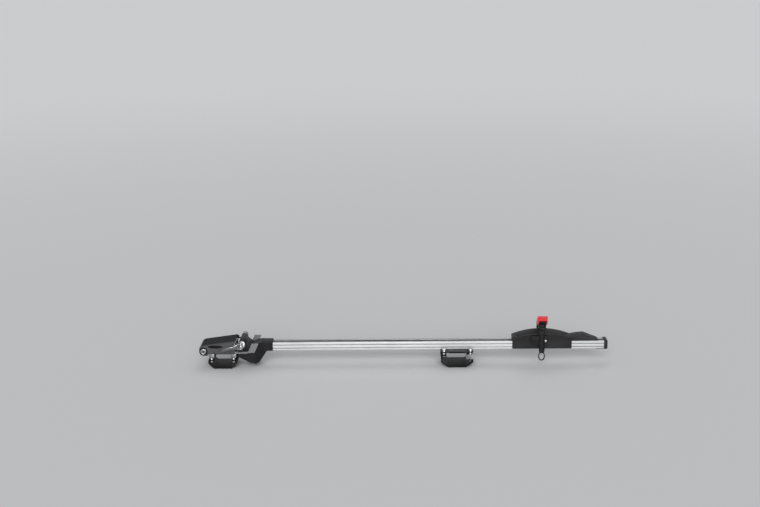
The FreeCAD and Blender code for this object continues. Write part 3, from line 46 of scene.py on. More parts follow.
MM = 1000.0
X, Y, Z = range(3)
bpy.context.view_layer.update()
RECORD = frame["record"]
BODY_OF = {name: body for body, names in RECORD["behaviour"]["bodies"].items() for name in names}
SLOT_OF = {part["node"]: part["material_slot"] for part in RECORD["subparts"]}

# Places that more than one piece shares, in millimetres
AXLE = (68, 0, 37)
LEVER_PIN = (68, -68, 0)
HINGE_X, HINGE_Z = 43, 36
LOCK = (-64, -47, 13)
KEY_FACE = (-64, -50.3, 13)
GRIP_X, GRIP_Z = -23, 28.2
COVER_HALF_WIDTH = 47.0
BOLT_ROWS = (-37, 37)
RAMP_HALF_WIDTH = 17.5
STRAP_X = 1093
STRAP_HALF_WIDTH = 10
STRAP_HALF_THICKNESS = 1.5
EYE_Y, EYE_Z = 33.5, 48

# Colours and levels that every finish shares
DUST_GREY = (0.33, 0.32, 0.30)
# Dark brown painted into the rail's slot and grooves as shade
INNER_SHADE_BROWN = (0.035, 0.034, 0.032)
# Near black painted onto tops as shade
TOP_SHADE_BLACK = (0.012, 0.012, 0.013)
PANEL_ROUGHNESS = 0.22
COAT_ROUGHNESS = 0.08
RELIEF_STRENGTH = 0.6
STUDIO_WHITE = (0.97, 0.98, 1.0, 1)


# Node trees

def node(tree, kind, settings=None, **inputs):
    """One shader node. A socket given as a value is linked, a number or colour is set. i0 names input 0."""
    made = tree.nodes.new(kind)
    for name, value in (settings or {}).items():
        setattr(made, name, value)
    for name, value in inputs.items():
        numbered = name[0] == "i" and name[1:].isdigit()
        socket = made.inputs[int(name[1:]) if numbered else name.replace("_", " ")]
        if isinstance(value, bpy.types.NodeSocket):
            tree.links.new(value, socket)
        else:
            socket.default_value = value
    return made


def maths(tree, operation, *values, clamp=False):
    """Result of one operation on up to three values."""
    inputs = {f"i{k}": value for k, value in enumerate(values)}
    settings = {"operation": operation, "use_clamp": clamp}
    return node(tree, "ShaderNodeMath", settings, **inputs).outputs["Value"]


def product(tree, first, *others):
    """Values multiplied one after another."""
    for other in others:
        first = maths(tree, "MULTIPLY", first, other)
    return first


def spread(tree, value, start, end, low=0.0, high=1.0):
    """Value mapped from start and end to low and high, and held there beyond them."""
    made = node(tree, "ShaderNodeMapRange", Value=value, From_Min=start, From_Max=end, To_Min=low,
                To_Max=high)
    return made.outputs["Result"]


def noise(tree, place, scale, detail, roughness=0.5):
    """Smooth noise from 0 to 1."""
    made = node(tree, "ShaderNodeTexNoise", Vector=place, Scale=scale, Detail=detail, Roughness=roughness)
    return made.outputs["Fac"]


def parts_of(tree, vector):
    """The X, Y and Z of a vector."""
    return node(tree, "ShaderNodeSeparateXYZ", Vector=vector).outputs


def facing_up(tree, start, end):
    """0 to 1 as the normal's Z goes from start to end."""
    normal = node(tree, "ShaderNodeNewGeometry").outputs["Normal"]
    return spread(tree, parts_of(tree, normal)["Z"], start, end)


def effect(name, output, **inputs):
    """Empty node group with a Vector, named numbers and one output: the tree, its inputs and that output."""
    tree = bpy.data.node_groups.new(name, "ShaderNodeTree")
    tree.interface.new_socket(name="Vector", in_out="INPUT", socket_type="NodeSocketVector")
    for label, value in inputs.items():
        socket = tree.interface.new_socket(name=label, in_out="INPUT", socket_type="NodeSocketFloat")
        socket.default_value = value
    tree.interface.new_socket(name=output, in_out="OUTPUT", socket_type="NodeSocketFloat")
    return tree, tree.nodes.new("NodeGroupInput").outputs, tree.nodes.new("NodeGroupOutput").inputs[output]


def make_mottle():
    """Slow cloudiness: three octaves of noise spread from 0 to 1."""
    tree, given, out = effect("mottle", "Value", Scale=60.0)
    clouds = noise(tree, given["Vector"], given["Scale"], 3.0, 0.55)
    tree.links.new(spread(tree, clouds, 0.3, 0.7), out)
    return tree


def make_grain():
    """Moulded grain: rounded cells of a Voronoi pattern over fine noise."""
    tree, given, out = effect("moulded_grain", "Height", Scale=900.0)
    cells = node(tree, "ShaderNodeTexVoronoi", {"feature": "SMOOTH_F1"}, Vector=given["Vector"],
                 Scale=given["Scale"], Smoothness=0.6)
    fine = noise(tree, given["Vector"], given["Scale"], 2.0)
    tree.links.new(maths(tree, "MULTIPLY_ADD", fine, 0.4, cells.outputs["Distance"]), out)
    return tree


def make_drawn_lines():
    """Die lines of an extrusion: noise drawn out along X, changing there at 0.006 of its rate in Y and Z."""
    tree, given, out = effect("drawn_lines", "Height", Scale=700.0)
    place = parts_of(tree, given["Vector"])
    slow = product(tree, place["X"], 0.006)
    drawn = node(tree, "ShaderNodeCombineXYZ", X=slow, Y=place["Y"], Z=place["Z"])
    tree.links.new(noise(tree, drawn.outputs["Vector"], given["Scale"], 3.0), out)
    return tree


def make_dust():
    """Road dust on faces that look up: the normal's Z from 0.5 to 1, broken by noise."""
    tree, given, out = effect("settled_dust", "Mask", Amount=0.2)
    patches = spread(tree, noise(tree, given["Vector"], 140.0, 4.0, 0.65), 0.4, 0.75)
    tree.links.new(product(tree, facing_up(tree, 0.5, 1.0), patches, given["Amount"]), out)
    return tree


def make_scuffs():
    """Thin scratches: the crests of a distorted wave, kept where slow noise is high."""
    tree, given, out = effect("scuffs", "Mask", Scale=90.0, Amount=0.3)
    wave = node(tree, "ShaderNodeTexWave", {"wave_type": "BANDS", "bands_direction": "DIAGONAL"},
                Vector=given["Vector"], Scale=given["Scale"], Distortion=18.0, Detail=3.0)
    crests = spread(tree, wave.outputs["Fac"], 0.93, 1.0)
    places = spread(tree, noise(tree, given["Vector"], given["Scale"], 2.0), 0.5, 0.7)
    tree.links.new(product(tree, crests, places, given["Amount"]), out)
    return tree


def make_channel_shade():
    """Painted shade inside an extrusion: 1 where |y| is under 17.3 mm and z from 6.8 to 32.8 mm, times slow
    noise. It darkens the slot and the grooves as if they lay in shade."""
    tree, given, out = effect("painted_channel_shade", "Mask", Amount=0.8)
    place = parts_of(tree, given["Vector"])
    inside = spread(tree, maths(tree, "ABSOLUTE", place["Y"]), 0.0175, 0.0171)
    under = spread(tree, place["Z"], 0.0331, 0.0325)
    above = spread(tree, place["Z"], 0.0065, 0.0071)
    patchy = spread(tree, noise(tree, given["Vector"], 60.0, 3.0), 0.3, 0.7, 0.85, 1.0)
    level = product(tree, under, above)
    tree.links.new(product(tree, inside, level, patchy, given["Amount"]), out)
    return tree


def make_top_shade():
    """Painted shade on tops: 1 where a face looks up and |y| is under 37 mm, softened over 1 mm. It darkens
    the tops of the cover and the rail so that they read darker than the sides, as shade."""
    tree, given, out = effect("painted_top_shade", "Mask", Amount=0.8)
    across = maths(tree, "ABSOLUTE", parts_of(tree, given["Vector"])["Y"])
    inside = spread(tree, across, 0.0376, 0.0366)
    tree.links.new(product(tree, facing_up(tree, 0.80, 0.92), inside, given["Amount"]), out)
    return tree


MOTTLE = make_mottle()
GRAIN = make_grain()
DRAWN_LINES = make_drawn_lines()
DUST = make_dust()
SCUFFS = make_scuffs()
CHANNEL_SHADE = make_channel_shade()
TOP_SHADE = make_top_shade()


def placed(tree, group, place, **inputs):
    """Output of an effect that reads object coordinates."""
    made = node(tree, "ShaderNodeGroup", {"node_tree": group})
    tree.links.new(place, made.inputs["Vector"])
    for name, value in inputs.items():
        made.inputs[name].default_value = value
    return made.outputs[0]


def blended(tree, factor, first, second):
    """Colour between two colours or sockets by a factor."""
    mix = node(tree, "ShaderNodeMix", {"data_type": "RGBA"})
    tree.links.new(factor, mix.inputs[0])
    for socket, value in ((mix.inputs[6], first), (mix.inputs[7], second)):
        if isinstance(value, bpy.types.NodeSocket):
            tree.links.new(value, socket)
        else:
            socket.default_value = (*value, 1.0)
    return mix.outputs[2]


def finish(name, dark, light, rough, metal=0.0, cloud=60.0, grain=None, lines=None, dust=0.0, scuffs=0.0,
           coat=0.0, specular=0.5, inner_shade=0.0, panel=0.0):
    """Material whose colour and roughness cloud between two levels. Scuffs are a lighter tone. Dust, a
    painted shade inside channels and a painted shade on faces that look up lie over it by their amounts.
    Grain and lines are pairs of a scale and a depth in millimetres."""
    material = bpy.data.materials.new(name)
    material.use_nodes = True
    tree = material.node_tree
    shader = tree.nodes["Principled BSDF"]
    place = node(tree, "ShaderNodeTexCoord").outputs["Object"]
    cloudiness = placed(tree, MOTTLE, place, Scale=cloud)
    colour = blended(tree, cloudiness, dark, light)
    roughness = spread(tree, cloudiness, 0.0, 1.0, *rough)
    if scuffs:
        bared = tuple(min(1.0, value * 1.6 + 0.05) for value in light)
        colour = blended(tree, placed(tree, SCUFFS, place, Amount=scuffs), colour, bared)
    if dust:
        grey = placed(tree, DUST, place, Amount=dust)
        colour = blended(tree, grey, colour, DUST_GREY)
        roughness = maths(tree, "ADD", roughness, grey, clamp=True)
    # Painted shade inside the rail's slot and grooves
    if inner_shade:
        colour = blended(tree, placed(tree, CHANNEL_SHADE, place, Amount=inner_shade), colour, INNER_SHADE_BROWN)
    # Painted shade on faces that look up; their roughness rises there too
    if panel:
        shade = placed(tree, TOP_SHADE, place, Amount=panel)
        colour = blended(tree, shade, colour, TOP_SHADE_BLACK)
        roughness = maths(tree, "MULTIPLY_ADD", shade, PANEL_ROUGHNESS, roughness, clamp=True)
    tree.links.new(colour, shader.inputs["Base Color"])
    tree.links.new(roughness, shader.inputs["Roughness"])
    shader.inputs["Metallic"].default_value = metal
    shader.inputs["Specular IOR Level"].default_value = specular
    if coat:
        shader.inputs["Coat Weight"].default_value = coat
        shader.inputs["Coat Roughness"].default_value = COAT_ROUGHNESS
    relief = None
    for group, settings in ((GRAIN, grain), (DRAWN_LINES, lines)):
        if settings:
            scale, depth = settings
            height = placed(tree, group, place, Scale=scale)
            bump = node(tree, "ShaderNodeBump", Height=height, Distance=depth / MM, Strength=RELIEF_STRENGTH)
            if relief:
                tree.links.new(relief, bump.inputs["Normal"])
            relief = bump.outputs["Normal"]
    if relief:
        tree.links.new(relief, shader.inputs["Normal"])
    return material


FINISHES = {
    # The rail has painted shade inside its channels and on its top
    "satin_aluminium": finish("satin_anodised_rail", (0.76, 0.765, 0.77), (0.83, 0.835, 0.84), (0.30, 0.37),
                              metal=0.55, cloud=9.0, lines=(900.0, 0.05), dust=0.20, scuffs=0.08, inner_shade=0.95,
                              panel=0.48),
    "cast_head": finish("powder_coated_casting", (0.013, 0.013, 0.014), (0.021, 0.021, 0.023), (0.34, 0.46),
                        cloud=45.0, grain=(520.0, 0.10), dust=0.05, scuffs=0.25, specular=0.10),
    "guide_metal": finish("grey_painted_guide", (0.15, 0.15, 0.152), (0.19, 0.19, 0.193), (0.36, 0.46),
                          cloud=70.0, grain=(800.0, 0.05), dust=0.10, scuffs=0.3),
    "bright_steel": finish("turned_steel", (0.58, 0.58, 0.585), (0.68, 0.68, 0.685), (0.20, 0.32), metal=1.0,
                           cloud=120.0, lines=(1200.0, 0.02), scuffs=0.2),
    "zinc_steel": finish("zinc_plated_steel", (0.52, 0.52, 0.50), (0.64, 0.63, 0.60), (0.28, 0.42), metal=1.0,
                         cloud=160.0, grain=(700.0, 0.02), dust=0.08, scuffs=0.25),
    "chrome": finish("polished_chrome", (0.48, 0.485, 0.49), (0.56, 0.565, 0.57), (0.20, 0.30), metal=1.0,
                     cloud=90.0, scuffs=0.15),
    "dark_chrome": finish("smoked_chrome", (0.22, 0.22, 0.23), (0.29, 0.29, 0.30), (0.10, 0.20), metal=1.0,
                          cloud=90.0, scuffs=0.15),
    "black_metal": finish("black_powder_coat", (0.010, 0.010, 0.011), (0.016, 0.016, 0.017), (0.32, 0.44),
                          cloud=80.0, grain=(620.0, 0.08), dust=0.02, scuffs=0.25, specular=0.05),
    "block_metal": finish("tumbled_die_casting", (0.25, 0.25, 0.255), (0.34, 0.34, 0.345), (0.30, 0.42),
                          metal=1.0, cloud=150.0, grain=(420.0, 0.06), dust=0.06, scuffs=0.2),
    # The cover has painted shade on its top
    "graphite_plastic": finish("graphite_cover_plastic", (0.068, 0.068, 0.070), (0.092, 0.092, 0.095),
                               (0.42, 0.52), cloud=30.0, grain=(1400.0, 0.02), dust=0.03, scuffs=0.3,
                               specular=0.08, panel=0.85),
    "black_plastic": finish("black_tray_plastic", (0.019, 0.019, 0.020), (0.028, 0.028, 0.029), (0.40, 0.50),
                            cloud=16.0, grain=(760.0, 0.10), dust=0.06, scuffs=0.15, specular=0.15),
    "buckle_plastic": finish("glass_filled_plastic", (0.014, 0.014, 0.015), (0.022, 0.022, 0.023),
                             (0.36, 0.48), cloud=90.0, grain=(1000.0, 0.05), dust=0.05, specular=0.10),
    "strap_rubber": finish("strap_elastomer", (0.012, 0.012, 0.012), (0.019, 0.019, 0.019), (0.38, 0.50),
                           cloud=70.0, grain=(1300.0, 0.04), dust=0.05, specular=0.08),
    "black_rubber": finish("pad_rubber", (0.009, 0.009, 0.009), (0.014, 0.014, 0.014), (0.62, 0.78),
                           cloud=60.0, grain=(900.0, 0.10), dust=0.04, specular=0.06),
    "red_plastic": finish("red_lever_plastic", (0.60, 0.018, 0.024), (0.68, 0.024, 0.030), (0.22, 0.30),
                          cloud=50.0, grain=(1500.0, 0.02), dust=0.05, coat=0.35),
}


# Surfaces

def added(name, data):
    """New object of some data, linked to the scene."""
    thing = bpy.data.objects.new(name, data)
    bpy.context.scene.collection.objects.link(thing)
    return thing


def surface(name, points, closed=False):
    """Quads over a grid of points in millimetres: rows run along the piece, columns round it. A closed grid
    joins its last row to its first, and any other has a face over each end."""
    rows, columns = points.shape[:2]
    index = np.arange(rows * columns).reshape(rows, columns)
    ends = [] if closed else [index[0].tolist(), index[-1, ::-1].tolist()]
    if closed:
        index = np.vstack([index, index[:1]])
    index = np.hstack([index, index[:, :1]])
    quads = np.stack([index[:-1, :-1], index[:-1, 1:], index[1:, 1:], index[1:, :-1]], axis=-1)
    mesh = bpy.data.meshes.new(name)
    mesh.from_pydata((points.reshape(-1, 3) / MM).tolist(), [], quads.reshape(-1, 4).tolist() + ends)
    return tidy(name, mesh)


def tidy(name, mesh, flat=False):
    """Object of a mesh whose doubles are merged and whose faces look outwards. flat joins coplanar faces."""
    work = bmesh.new()
    work.from_mesh(mesh)
    bmesh.ops.remove_doubles(work, verts=work.verts, dist=2e-6)
    bmesh.ops.dissolve_degenerate(work, edges=work.edges, dist=1e-6)
    if flat:
        bmesh.ops.dissolve_limit(work, angle_limit=0.004, verts=work.verts, edges=work.edges)
    bmesh.ops.recalc_face_normals(work, faces=work.faces)
    for face in work.faces:
        face.smooth = True
    work.to_mesh(mesh)
    work.free()
    return added(name, mesh)


def dressed(thing, node_name, slot=None, stands_for=True):
    """Rides a piece on a node's body in the node's finish and, if asked, lets it stand for the node."""
    slot = slot or SLOT_OF[node_name]
    thing.data.materials.clear()
    thing.data.materials.append(FINISHES[slot])
    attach(thing, BODY_OF[node_name])
    if stands_for:
        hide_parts(node_name)
    return thing


def eased(thing, width, segments=2, angle=35.0):
    """Small round of a width in millimetres on every edge sharper than an angle in degrees."""
    bevel = thing.modifiers.new("eased_edges", "BEVEL")
    bevel.width = width / MM
    bevel.segments = segments
    bevel.limit_method = "ANGLE"
    bevel.angle_limit = np.radians(angle)
    bevel.use_clamp_overlap = True
    bevel.harden_normals = True
    return thing


def softened(node_name, width=0.4, segments=2, slot=None):
    """Copy of a solid node with its flat faces joined and its edges eased."""
    thing = tidy(f"{node_name}_eased", frame["nodes"][node_name].data.copy(), flat=True)
    return dressed(eased(thing, width, segments), node_name, slot)


def bend(corners, reach, steps=6):
    """Open line whose inner corners become parabolas (1-t)^2 A + 2t(1-t) C + t^2 B, A and B a reach away."""
    corners = np.asarray(corners, float)
    reach = np.broadcast_to(np.asarray(reach, float), len(corners) - 2)[:, None]
    middle = corners[1:-1]
    back, ahead = corners[:-2] - middle, corners[2:] - middle
    start = middle + back / np.linalg.norm(back, axis=1, keepdims=True) * reach
    end = middle + ahead / np.linalg.norm(ahead, axis=1, keepdims=True) * reach
    t = np.linspace(0.0, 1.0, steps)[None, :, None]
    arcs = (1 - t) ** 2 * start[:, None] + 2 * t * (1 - t) * middle[:, None] + t ** 2 * end[:, None]
    return np.vstack([corners[:1], arcs.reshape(-1, corners.shape[1]), corners[-1:]])


def rounded(corners, reach, steps=6):
    """Closed outline with each corner turned on a parabola."""
    corners = np.asarray(corners, float)
    looped = np.vstack([corners[-1:], corners, corners[:1]])
    return bend(looped, reach, steps)[1:-1]


def travelled(line):
    """Arc length from the start of a line to each of its points."""
    return np.r_[0.0, np.cumsum(np.linalg.norm(np.diff(line, axis=0), axis=1))]


def resampled(line, count):
    """Points at even steps of arc length along a line."""
    step = travelled(line)
    even = np.linspace(0, step[-1], count)
    return np.stack([np.interp(even, step, line[:, k]) for k in range(line.shape[1])], 1)


def outward(outline):
    """Unit normals of a closed outline in its own plane, pointing out."""
    tangent = np.roll(outline, -1, axis=0) - np.roll(outline, 1, axis=0)
    normal = np.stack([tangent[:, 1], -tangent[:, 0]], 1) / np.linalg.norm(tangent, axis=1, keepdims=True)
    area = np.sum(outline[:, 0] * np.roll(outline[:, 1], -1) - np.roll(outline[:, 0], -1) * outline[:, 1])
    return normal * np.sign(area)


def squircle(angle, power):
    """Unit superellipse: sign(cos a) |cos a|^power and sign(sin a) |sin a|^power."""
    across = np.sign(np.cos(angle)) * np.abs(np.cos(angle)) ** power
    upright = np.sign(np.sin(angle)) * np.abs(np.sin(angle)) ** power
    return across, upright


def carried(name, outline, axis, low, high, edge=0.8, steps=4):
    """Outline carried along an axis. Each end draws in by edge (1 - sin a) as it advances by
    edge (1 - cos a), with a from 0 to 90 degrees."""
    angle = np.linspace(0.0, np.pi / 2, steps)
    inset, advance = edge * (1 - np.sin(angle)), edge * (1 - np.cos(angle))
    inset = np.r_[inset, inset[::-1]]
    place = np.r_[low + advance, high - advance[::-1]]
    flat = outline[None] - outward(outline)[None] * inset[:, None, None]
    points = np.empty((len(place), len(outline), 3))
    others = [k for k in range(3) if k != axis]
    points[:, :, axis] = place[:, None]
    points[:, :, others] = flat
    return surface(name, points)


def turned(name, profile, centre, axis, lobe=None, segments=72, closed=False):
    """Profile of radii and heights turned about an axis, each row's radius times lobe(profile, angle)."""
    profile = np.asarray(profile, float)
    angle = np.linspace(0.0, 2 * np.pi, segments, endpoint=False)
    factor = np.ones((len(profile), segments)) if lobe is None else lobe(profile, angle)
    radius = profile[:, :1] * factor
    points = np.empty((len(profile), segments, 3))
    first, second = [k for k in range(3) if k != axis]
    points[:, :, first] = centre[first] + radius * np.cos(angle)
    points[:, :, second] = centre[second] + radius * np.sin(angle)
    points[:, :, axis] = centre[axis] + profile[:, 1:2]
    return surface(name, points, closed)


def joined(name, pieces):
    """Several meshes made one piece."""
    work = bmesh.new()
    for piece in pieces:
        work.from_mesh(piece.data)
        bpy.data.objects.remove(piece)
    mesh = bpy.data.meshes.new(name)
    work.to_mesh(mesh)
    work.free()
    return added(name, mesh)


# Head

def neck_sections():
    """Loft along X of rounded boxes |y/w|^n + |z/h|^n = 1, n 8, between a top, an underside and a side line.
    The ends draw in on a quarter circle of 1.6 mm."""
    first, last, ease, fullness = 56, 171, 1.6, 8.0
    x = np.r_[np.linspace(first, 60, 5), np.linspace(61, 168, 110), np.linspace(169, last, 4)]
    top = bend([(first, 15.5), (88, 17.5), (120, 33), (133, 38.5), (last, 38.5)], 9)
    under = bend([(first, -12), (99, -35.4), (112, -39.4), (126, -33), (143, -8), (150, 3.2), (last, 3.2)],
                 (9, 5, 6, 8, 5))
    side = bend([(first, 44), (104, 44), (121, 38), (141, 21.2), (last, 21.2)], (9, 9, 9))
    high, low, half = (np.interp(x, line[:, 0], line[:, 1]) for line in (top, under, side))
    end = np.minimum(x - first, last - x)
    draw = ease * (1 - np.sqrt(1 - (1 - np.clip(end / ease, 0, 1)) ** 2))
    across, upright = squircle(np.linspace(0, 2 * np.pi, 96, endpoint=False), 2 / fullness)
    points = np.empty((len(x), len(across), 3))
    points[:, :, 0] = x[:, None]
    points[:, :, 1] = (half - draw)[:, None] * across
    points[:, :, 2] = ((high + low) / 2)[:, None] + ((high - low) / 2 - draw)[:, None] * upright
    return points


def make_head():
    """Casting of neck, axle barrel, saddle, tongue and hinge ears, with the side guides and the washers."""
    casting = "head_casting"
    dressed(surface("head_neck", neck_sections()), casting)
    tube = [(6.1, -47), (11, -47), (12, -46), (12, 46), (11, 47), (6.1, 47)]
    dressed(turned("head_barrel", tube, AXLE, Y, closed=True), casting)
    saddle = rounded([(57, 9), (57, 37), (79.5, 37), (101, 19), (90, 9)], 2.5)
    dressed(carried("head_saddle", saddle, Y, -43.5, 43.5, 1.5), casting)
    tongue = rounded([(8, -24), (60, -24), (60, 24), (8, 24)], 5)
    dressed(carried("head_tongue", tongue, Z, 8, 16, 1.0), casting)
    ear = rounded([(38.6, 32), (38.6, 39), (42, 40.5), (46, 39), (47.5, 34.6), (66, 34.6), (66, 29.6),
                   (43, 31.5)], 1.2)
    for word, low, high in (("near", -43.7, -36.7), ("far", 36.7, 43.7)):
        dressed(carried(f"head_ear_{word}", ear, Y, low, high, 0.6), casting)
    for word in ("near", "far"):
        softened(f"fork_guide_{word}", 1.0, 3)
        softened(f"dropout_washer_{word}", 0.5)
    softened("axle_sleeve", 0.4)


# Cover over the front foot

def cover_skin(inset):
    """Row by row from the lip under the nose, over the nose and back to the hinge. Each row runs up the near
    wall from its foot, over a round crown, across the top and down the far wall. An inset draws the skin in.
    The wall has an oval grip, 2.6 (1 - u^2 - w^2)^0.4 deep, and under z 5.5 it steps in by 0.8 mm on a
    logistic curve. The top has a panel sunk by 0.7 mm."""
    line = bend([(-62, -3), (-80, -3), (-80, 29), (-20, 37.5), (44, 46)], (14.5, 15, 26), 14)
    profile = resampled(line, 150)
    along = np.gradient(profile, axis=0)
    along /= np.linalg.norm(along, axis=1, keepdims=True)
    profile = profile + inset * np.stack([along[:, 1], -along[:, 0]], 1)
    foot_x = np.clip(profile[:, 0], -62, 44)
    foot = np.stack([foot_x, np.interp(foot_x, [-62, -50, -46, 44], [-3, -3, 3, 3])], 1)
    foot[:, 1] += inset * np.clip((-58 - profile[:, 0]) / 4, 0, 1)
    drop = foot - profile
    depth = np.linalg.norm(drop, axis=1, keepdims=True)
    down = drop / np.maximum(depth, 1e-6)
    half = COVER_HALF_WIDTH - inset
    crown = np.minimum(9.0, 0.5 * depth) * (1 - 0.12 * inset)
    flat = np.linspace(0, 1, 14)[:-1]
    turn = np.linspace(0, np.pi / 2, 8)
    wall = np.linspace(0, 1, 44)[1:]
    across = np.hstack([(half - crown) * flat, half - crown + crown * np.sin(turn),
                        np.full((len(foot), len(wall)), half)])
    fall = np.hstack([np.zeros((len(foot), len(flat))), crown * (1 - np.cos(turn)),
                      crown + (depth - crown) * wall])
    x = profile[:, :1] + down[:, :1] * fall
    z = profile[:, 1:] + down[:, 1:] * fall
    on_wall = np.clip((across - half + 3) / 3, 0, 1)
    grip = np.clip(1 - ((x - GRIP_X) / 29) ** 2 - ((z - GRIP_Z) / 6.2) ** 2, 0, 1)
    step = 0.8 / (1 + np.exp((z - 5.5) * 3))
    panel = 0.7 * np.clip((half - 10 - across) / 1.5, 0, 1) * np.clip((x + 62) / 4, 0, 1)
    z = z - panel * np.clip((38 - x) / 2, 0, 1)
    y = across - on_wall * (2.6 * grip ** 0.4 + step)
    near = np.stack([x, -y, z], -1)[:, ::-1]
    far = np.stack([x, y, z], -1)[:, 1:]
    return np.hstack([near, far])


def grip_oval(half_length, half_height):
    """Outline of the finger grip: (a cos t, b sin t) about its middle."""
    turn = np.linspace(0, 2 * np.pi, 72, endpoint=False)
    return np.stack([GRIP_X + half_length * np.cos(turn), GRIP_Z + half_height * np.sin(turn)], 1)


def make_cover():
    """Shell of two skins 2.6 mm apart, bored for the lock and the hinge pin, with a black sheet in the grip
    as painted shade and a turned boss round each end of the pin."""
    outer, inner = cover_skin(0.0), cover_skin(2.6)
    shell = surface("cover_shell", np.hstack([outer, inner[:, ::-1]]))
    cutters = [
        turned("lock_bore", [(12.1, -8), (12.1, 12)], LOCK, Y),
        turned("pin_bore", [(2.6, -60), (2.6, 60)], (HINGE_X, 0, HINGE_Z), Y),
    ]
    for cutter in cutters:
        bore = shell.modifiers.new("bore", "BOOLEAN")
        bore.operation = "DIFFERENCE"
        bore.object = cutter
        bore.solver = "EXACT"
    mesh = bpy.data.meshes.new_from_object(shell.evaluated_get(bpy.context.evaluated_depsgraph_get()))
    for thing in (shell, *cutters):
        bpy.data.objects.remove(thing)
    dressed(eased(tidy("cover_moulding", mesh), 0.35, angle=50), "head_cover")
    # Painted shade: a black sheet at the bottom of the finger grip stands for the shade in that recess
    grip_shade = carried("cover_grip_shade", grip_oval(27.5, 5.6), Y, -45.6, -44.6, 0.4)
    dressed(grip_shade, "head_cover", "black_rubber", stands_for=False)
    boss = [(2.6, 0), (5.4, 0), (6, 0.6), (6, 3.0), (2.6, 3.0)]
    for word, y, inwards in (("near", -47, 1), ("far", 47, -1)):
        ring = [(radius, inwards * height) for radius, height in boss]
        dressed(turned(f"cover_boss_{word}", ring, (HINGE_X, y, HINGE_Z), Y, closed=True), "head_cover")
    softened("cover_hinge_pin", 0.4)


# Lock

def make_lock():
    """Turned bezel, shutter and collar round the lock's solids."""
    bezel = [(9.6, -2.1), (10.2, -2.5), (12.6, -2.5), (13.6, -1.9), (14, -1.0), (14, 0), (12, 0), (12, 13),
             (9.6, 13)]
    dressed(turned("lock_bezel", bezel, LOCK, Y, closed=True), "lock_housing")
    softened("lock_cylinder", 0.3)
    shutter = [(0.9, -0.4), (3.0, -0.4), (3.6, -0.1), (3.6, 0.5), (0.9, 0.5)]
    dressed(turned("key_shutter", shutter, KEY_FACE, Y, closed=True), "lock_cylinder", "black_metal",
            stands_for=False)
    collar = [(7.0, 0.2), (7.2, -0.5), (8.6, -0.5), (9.1, -0.1), (9.1, 0.4), (7.0, 0.4)]
    dressed(turned("lock_collar", collar, KEY_FACE, Y, closed=True), "lock_cylinder", stands_for=False)
    softened("lock_tongue", 0.3)
    softened("lock_striker", 0.3)


# Skewer

def hexagonal(profile, angle):
    """Radius factor of a six-sided bar, cos 30 / cos(a - nearest flat), on rows whose third number is 1."""
    flat = np.abs((angle + np.pi / 6) % (np.pi / 3) - np.pi / 6)
    six = np.cos(np.pi / 6) / np.cos(np.pi / 6 - flat)
    weight = profile[:, 2:3]
    return 1 + weight * (six - 1)


def lobed(profile, angle):
    """Radius factor of a twelve-lobed grip: 1 - 0.12 max(0, cos 12a)^2 on rows whose third number is 1."""
    return 1 - profile[:, 2:3] * 0.12 * np.clip(np.cos(12 * angle), 0, 1) ** 2


def blade_sections():
    """Lever's blade: superellipses along a spine that bows in Y and falls by 14.5 t^1.4 in Z. The half
    height loses 5.2 over the first third and gains 1 over the whole, and both half sizes close on a quarter
    ellipse over the last 0.07."""
    t = np.linspace(0, 1, 60)
    bow = -71.8 + 2.6 * t ** 2 - 1.2 * np.sin(np.pi * t)
    spine = np.stack([61.0 - 59.5 * t, bow, 37 - 14.5 * t ** 1.4], 1)
    tip = np.sqrt(np.clip(1 - np.clip((t - 0.93) / 0.07, 0, 1) ** 2, 0.02, 1))
    tall = (10.2 - 5.2 * np.clip(t / 0.35, 0, 1) ** 1.5 + 1.0 * t) * tip
    thick = 3.1 * tip
    across, upright = squircle(np.linspace(0, 2 * np.pi, 40, endpoint=False), 0.55)
    points = np.empty((len(t), len(across), 3))
    points[:, :, 0] = spine[:, :1]
    points[:, :, 1] = spine[:, 1:2] + thick[:, None] * across
    points[:, :, 2] = spine[:, 2:] + tall[:, None] * upright
    return points


def make_skewer():
    """Rod, saddle and pin, the lever of a blade, two arms and two turned cams, and the lobed thumb nut."""
    for name in ("skewer_rod", "cam_saddle", "lever_pin"):
        softened(name, 0.4)
    dressed(surface("lever_blade", blade_sections()), "skewer_lever")
    thickness = 5
    for word, low in (("upper", 42.3), ("lower", 26.7)):
        cam = [(2.56, low), (7.1, low), (7.7, low + 0.6), (7.7, low + 4.4), (7.1, low + thickness),
               (2.56, low + thickness)]
        dressed(turned(f"lever_cam_{word}", cam, LEVER_PIN, Z, closed=True), "skewer_lever")
        arm = rounded([(54, -75), (68, -75.4), (66, -71), (66, -66), (54, -68)], 1.2)
        dressed(carried(f"lever_arm_{word}", arm, Z, low, low + thickness, 0.6), "skewer_lever")
    knob = [(2.56, 57, 0), (7.9, 57, 0), (8.5, 57.6, 0), (8.5, 60, 0), (9.3, 60.4, 1), (10, 61.4, 1),
            (10, 68.6, 1), (9.2, 69.6, 1), (7.5, 70, 0), (2.56, 70, 0)]
    dressed(turned("thumb_nut_grip", knob, AXLE, Y, lobe=lobed, segments=144, closed=True), "skewer_nut")


# Clamping feet

def bored_nut(name, place, low, high, dome=0.0):
    """Six-sided nut 14 mm across its corners, with a chamfered crown and a plain bore. A cap nut also has a
    dome, whose wall is 0.9 mm thick."""
    radius, bore, rise = 7, 4.1, high - low
    rows = [(bore, 0, 0), (radius * 0.93, 0, 0), (radius, 0.5, 1), (radius, rise - 0.9, 1),
            (radius * 0.9, rise, 0)]
    if dome:
        hollow, foot = dome - 0.9, rise - 0.6
        for size, turn in ((dome, np.linspace(0.15, np.pi / 2, 9)),
                           (hollow, np.linspace(np.pi / 2, np.arccos(bore / hollow), 6))):
            rows += [(size * np.cos(a) + 0.02, foot + size * np.sin(a), 0) for a in turn]
    else:
        rows += [(bore + 0.5, rise, 0), (bore, rise - 0.5, 0)]
    return turned(name, rows, (*place, low), Z, lobe=hexagonal, closed=True)


